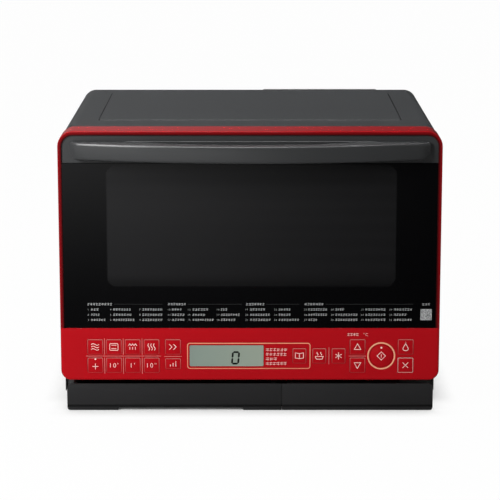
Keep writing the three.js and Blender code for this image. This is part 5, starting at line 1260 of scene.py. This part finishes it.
# %% Door seal
inner_low, inner_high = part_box("inner_glass")
seal_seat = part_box("inner_panel")[1].y
body_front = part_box("cavity_liner")[0].y
seal_margin, seal_width, seal_radius = 7 * mm, 6 * mm, 18 * mm
seal_rise_share = 0.8  # of the gap between door and body
seal_rise = (body_front - seal_seat) * seal_rise_share
seal_size = (inner_high.x - inner_low.x + 2 * seal_margin, inner_high.z - inner_low.z + 2 * seal_margin)
seal_middle = ((inner_low.x + inner_high.x) / 2, (inner_low.z + inner_high.z) / 2)
seal_path = rounded_rectangle(seal_middle, seal_size, seal_radius, 9)
seal = domed_strip(seal_path, seal_width, -seal_rise, seal_seat, closed=True)
put_piece("door_seal", seal, black_rubber, "rubber", "door")
print("seal:", in_mm(*seal_size, seal_rise))

# %% [markdown]
# ## Divider between the drawers
#
# Tray and tank meet in the bar under the door. Behind that joint a rib of the base keeps the two
# apart and closes the view to the floor.

# %% Divider
tray_right, tank_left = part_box("drip_tray")[1].x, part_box("feed_water_tank")[0].x
pan_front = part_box("base_pan")[0].y
divider_width, divider_low, divider_high = 19 * mm, 3.0 * mm, 32.2 * mm
divider_radius, divider_reach, pan_gap = 2 * mm, 38 * mm, 0.2 * mm
outline = rounded_rectangle(((tray_right + tank_left) / 2, (divider_low + divider_high) / 2),
                            (divider_width, divider_high - divider_low), divider_radius)
divider = plate(outline, pan_front - divider_reach, pan_front - pan_gap)
put_piece("drawer_divider", divider, black_polypropylene, "bar_plastic", "cabinet")
print("divider:", in_mm(divider_width, divider_high - divider_low, divider_reach))

# %% [markdown]
# ## Screws
#
# The cabinet and the rear cover are held by pan-head screws with a cross recess. One head is a
# height over a round grid: a dome, minus a cross. The cross is where the smaller of |u| and |v| is
# under the slot's half width and the larger is under its length. The grid is turned to face the
# side it sits on and moved there.


# %% Screw heads
def screw_head(radius, rise):
    """A dome h = rise (edge + (1 - edge) (1 - (r / radius)^3)), less a cross recess, and a skirt."""
    rings, sectors = 11, 32
    edge_share, slot_share, cross_share, recess_share = 0.25, 0.13, 0.62, 0.55
    r = np.linspace(0.04, 1, rings)[:, None] * radius
    turn = (np.arange(sectors) * 2 * math.pi / sectors)[None, :]
    u, v = r * np.cos(turn), r * np.sin(turn)
    height = rise * (edge_share + (1 - edge_share) * (1 - (r / radius) ** 3)) + 0 * turn
    narrow, wide = np.minimum(abs(u), abs(v)), np.maximum(abs(u), abs(v))
    cross = (narrow < slot_share * radius) & (wide < cross_share * radius)
    height = np.where(cross, height - recess_share * rise, height)
    skirt = np.stack([u[-1], v[-1], np.zeros(sectors)], -1)
    points = np.concatenate([np.stack([u, v, height], -1).reshape(-1, 3), skirt])
    i = np.arange(rings)[:, None] * sectors
    j = np.arange(sectors)[None, :]
    j_next = (j + 1) % sectors
    corners = [i + j, i + sectors + j, i + sectors + j_next, i + j_next]
    faces = np.stack(np.broadcast_arrays(*corners), -1).reshape(-1, 4).tolist()
    faces.append(list(range(sectors)))
    faces.append((np.arange(sectors)[::-1] + rings * sectors).tolist())
    return points, faces


def turned(points, outward):
    """Points drawn in x and y with their height along z, turned so that the height runs outward."""
    x, y, z = points.T
    sides = {"rear": (-x, z, y), "right": (z, x, y), "left": (-z, -x, y)}
    return np.stack(sides[outward], 1)


def screws(outward, places, finish, slot):
    """All heads on one side as a single piece; places are the (x, y, z) of their seats."""
    points, faces = screw_head(head_radius, head_rise)
    heads = joined([(turned(points, outward) + place, faces) for place in places])
    put_piece("screws_" + outward, heads, finish, slot, "cabinet")
    print("screws_" + outward, "has", len(places))


head_radius, head_rise = 3.4 * mm, 1.5 * mm
cabinet_low, cabinet_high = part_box("outer_cabinet")
foot_line = 24 * mm
depths = [cabinet_low.y + share * (cabinet_high.y - cabinet_low.y) for share in (0.07, 0.5, 0.93)]
for outward, wall in (("right", cabinet_high.x), ("left", cabinet_low.x)):
    screws(outward, [(wall, depth, foot_line) for depth in depths], dark_powder_coat, "cabinet_paint")

cover_low, cover_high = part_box("rear_cover")
duct_bottom, duct_depth = 289.5 * mm, 12 * mm  # the duct stands out behind the cover's sheet
inset = 9 * mm
seat = cover_high.y - duct_depth
left, right = cover_low.x + inset, cover_high.x - inset
low, high = cover_low.z + inset, cover_high.z - inset
places = [(across, seat, height) for across in (left, (left + right) / 2, right)
          for height in (low, duct_bottom - 2 * inset)]
screws("rear", places + [(left, seat, high), (right, seat, high)], zinc_steel, "plated_steel")
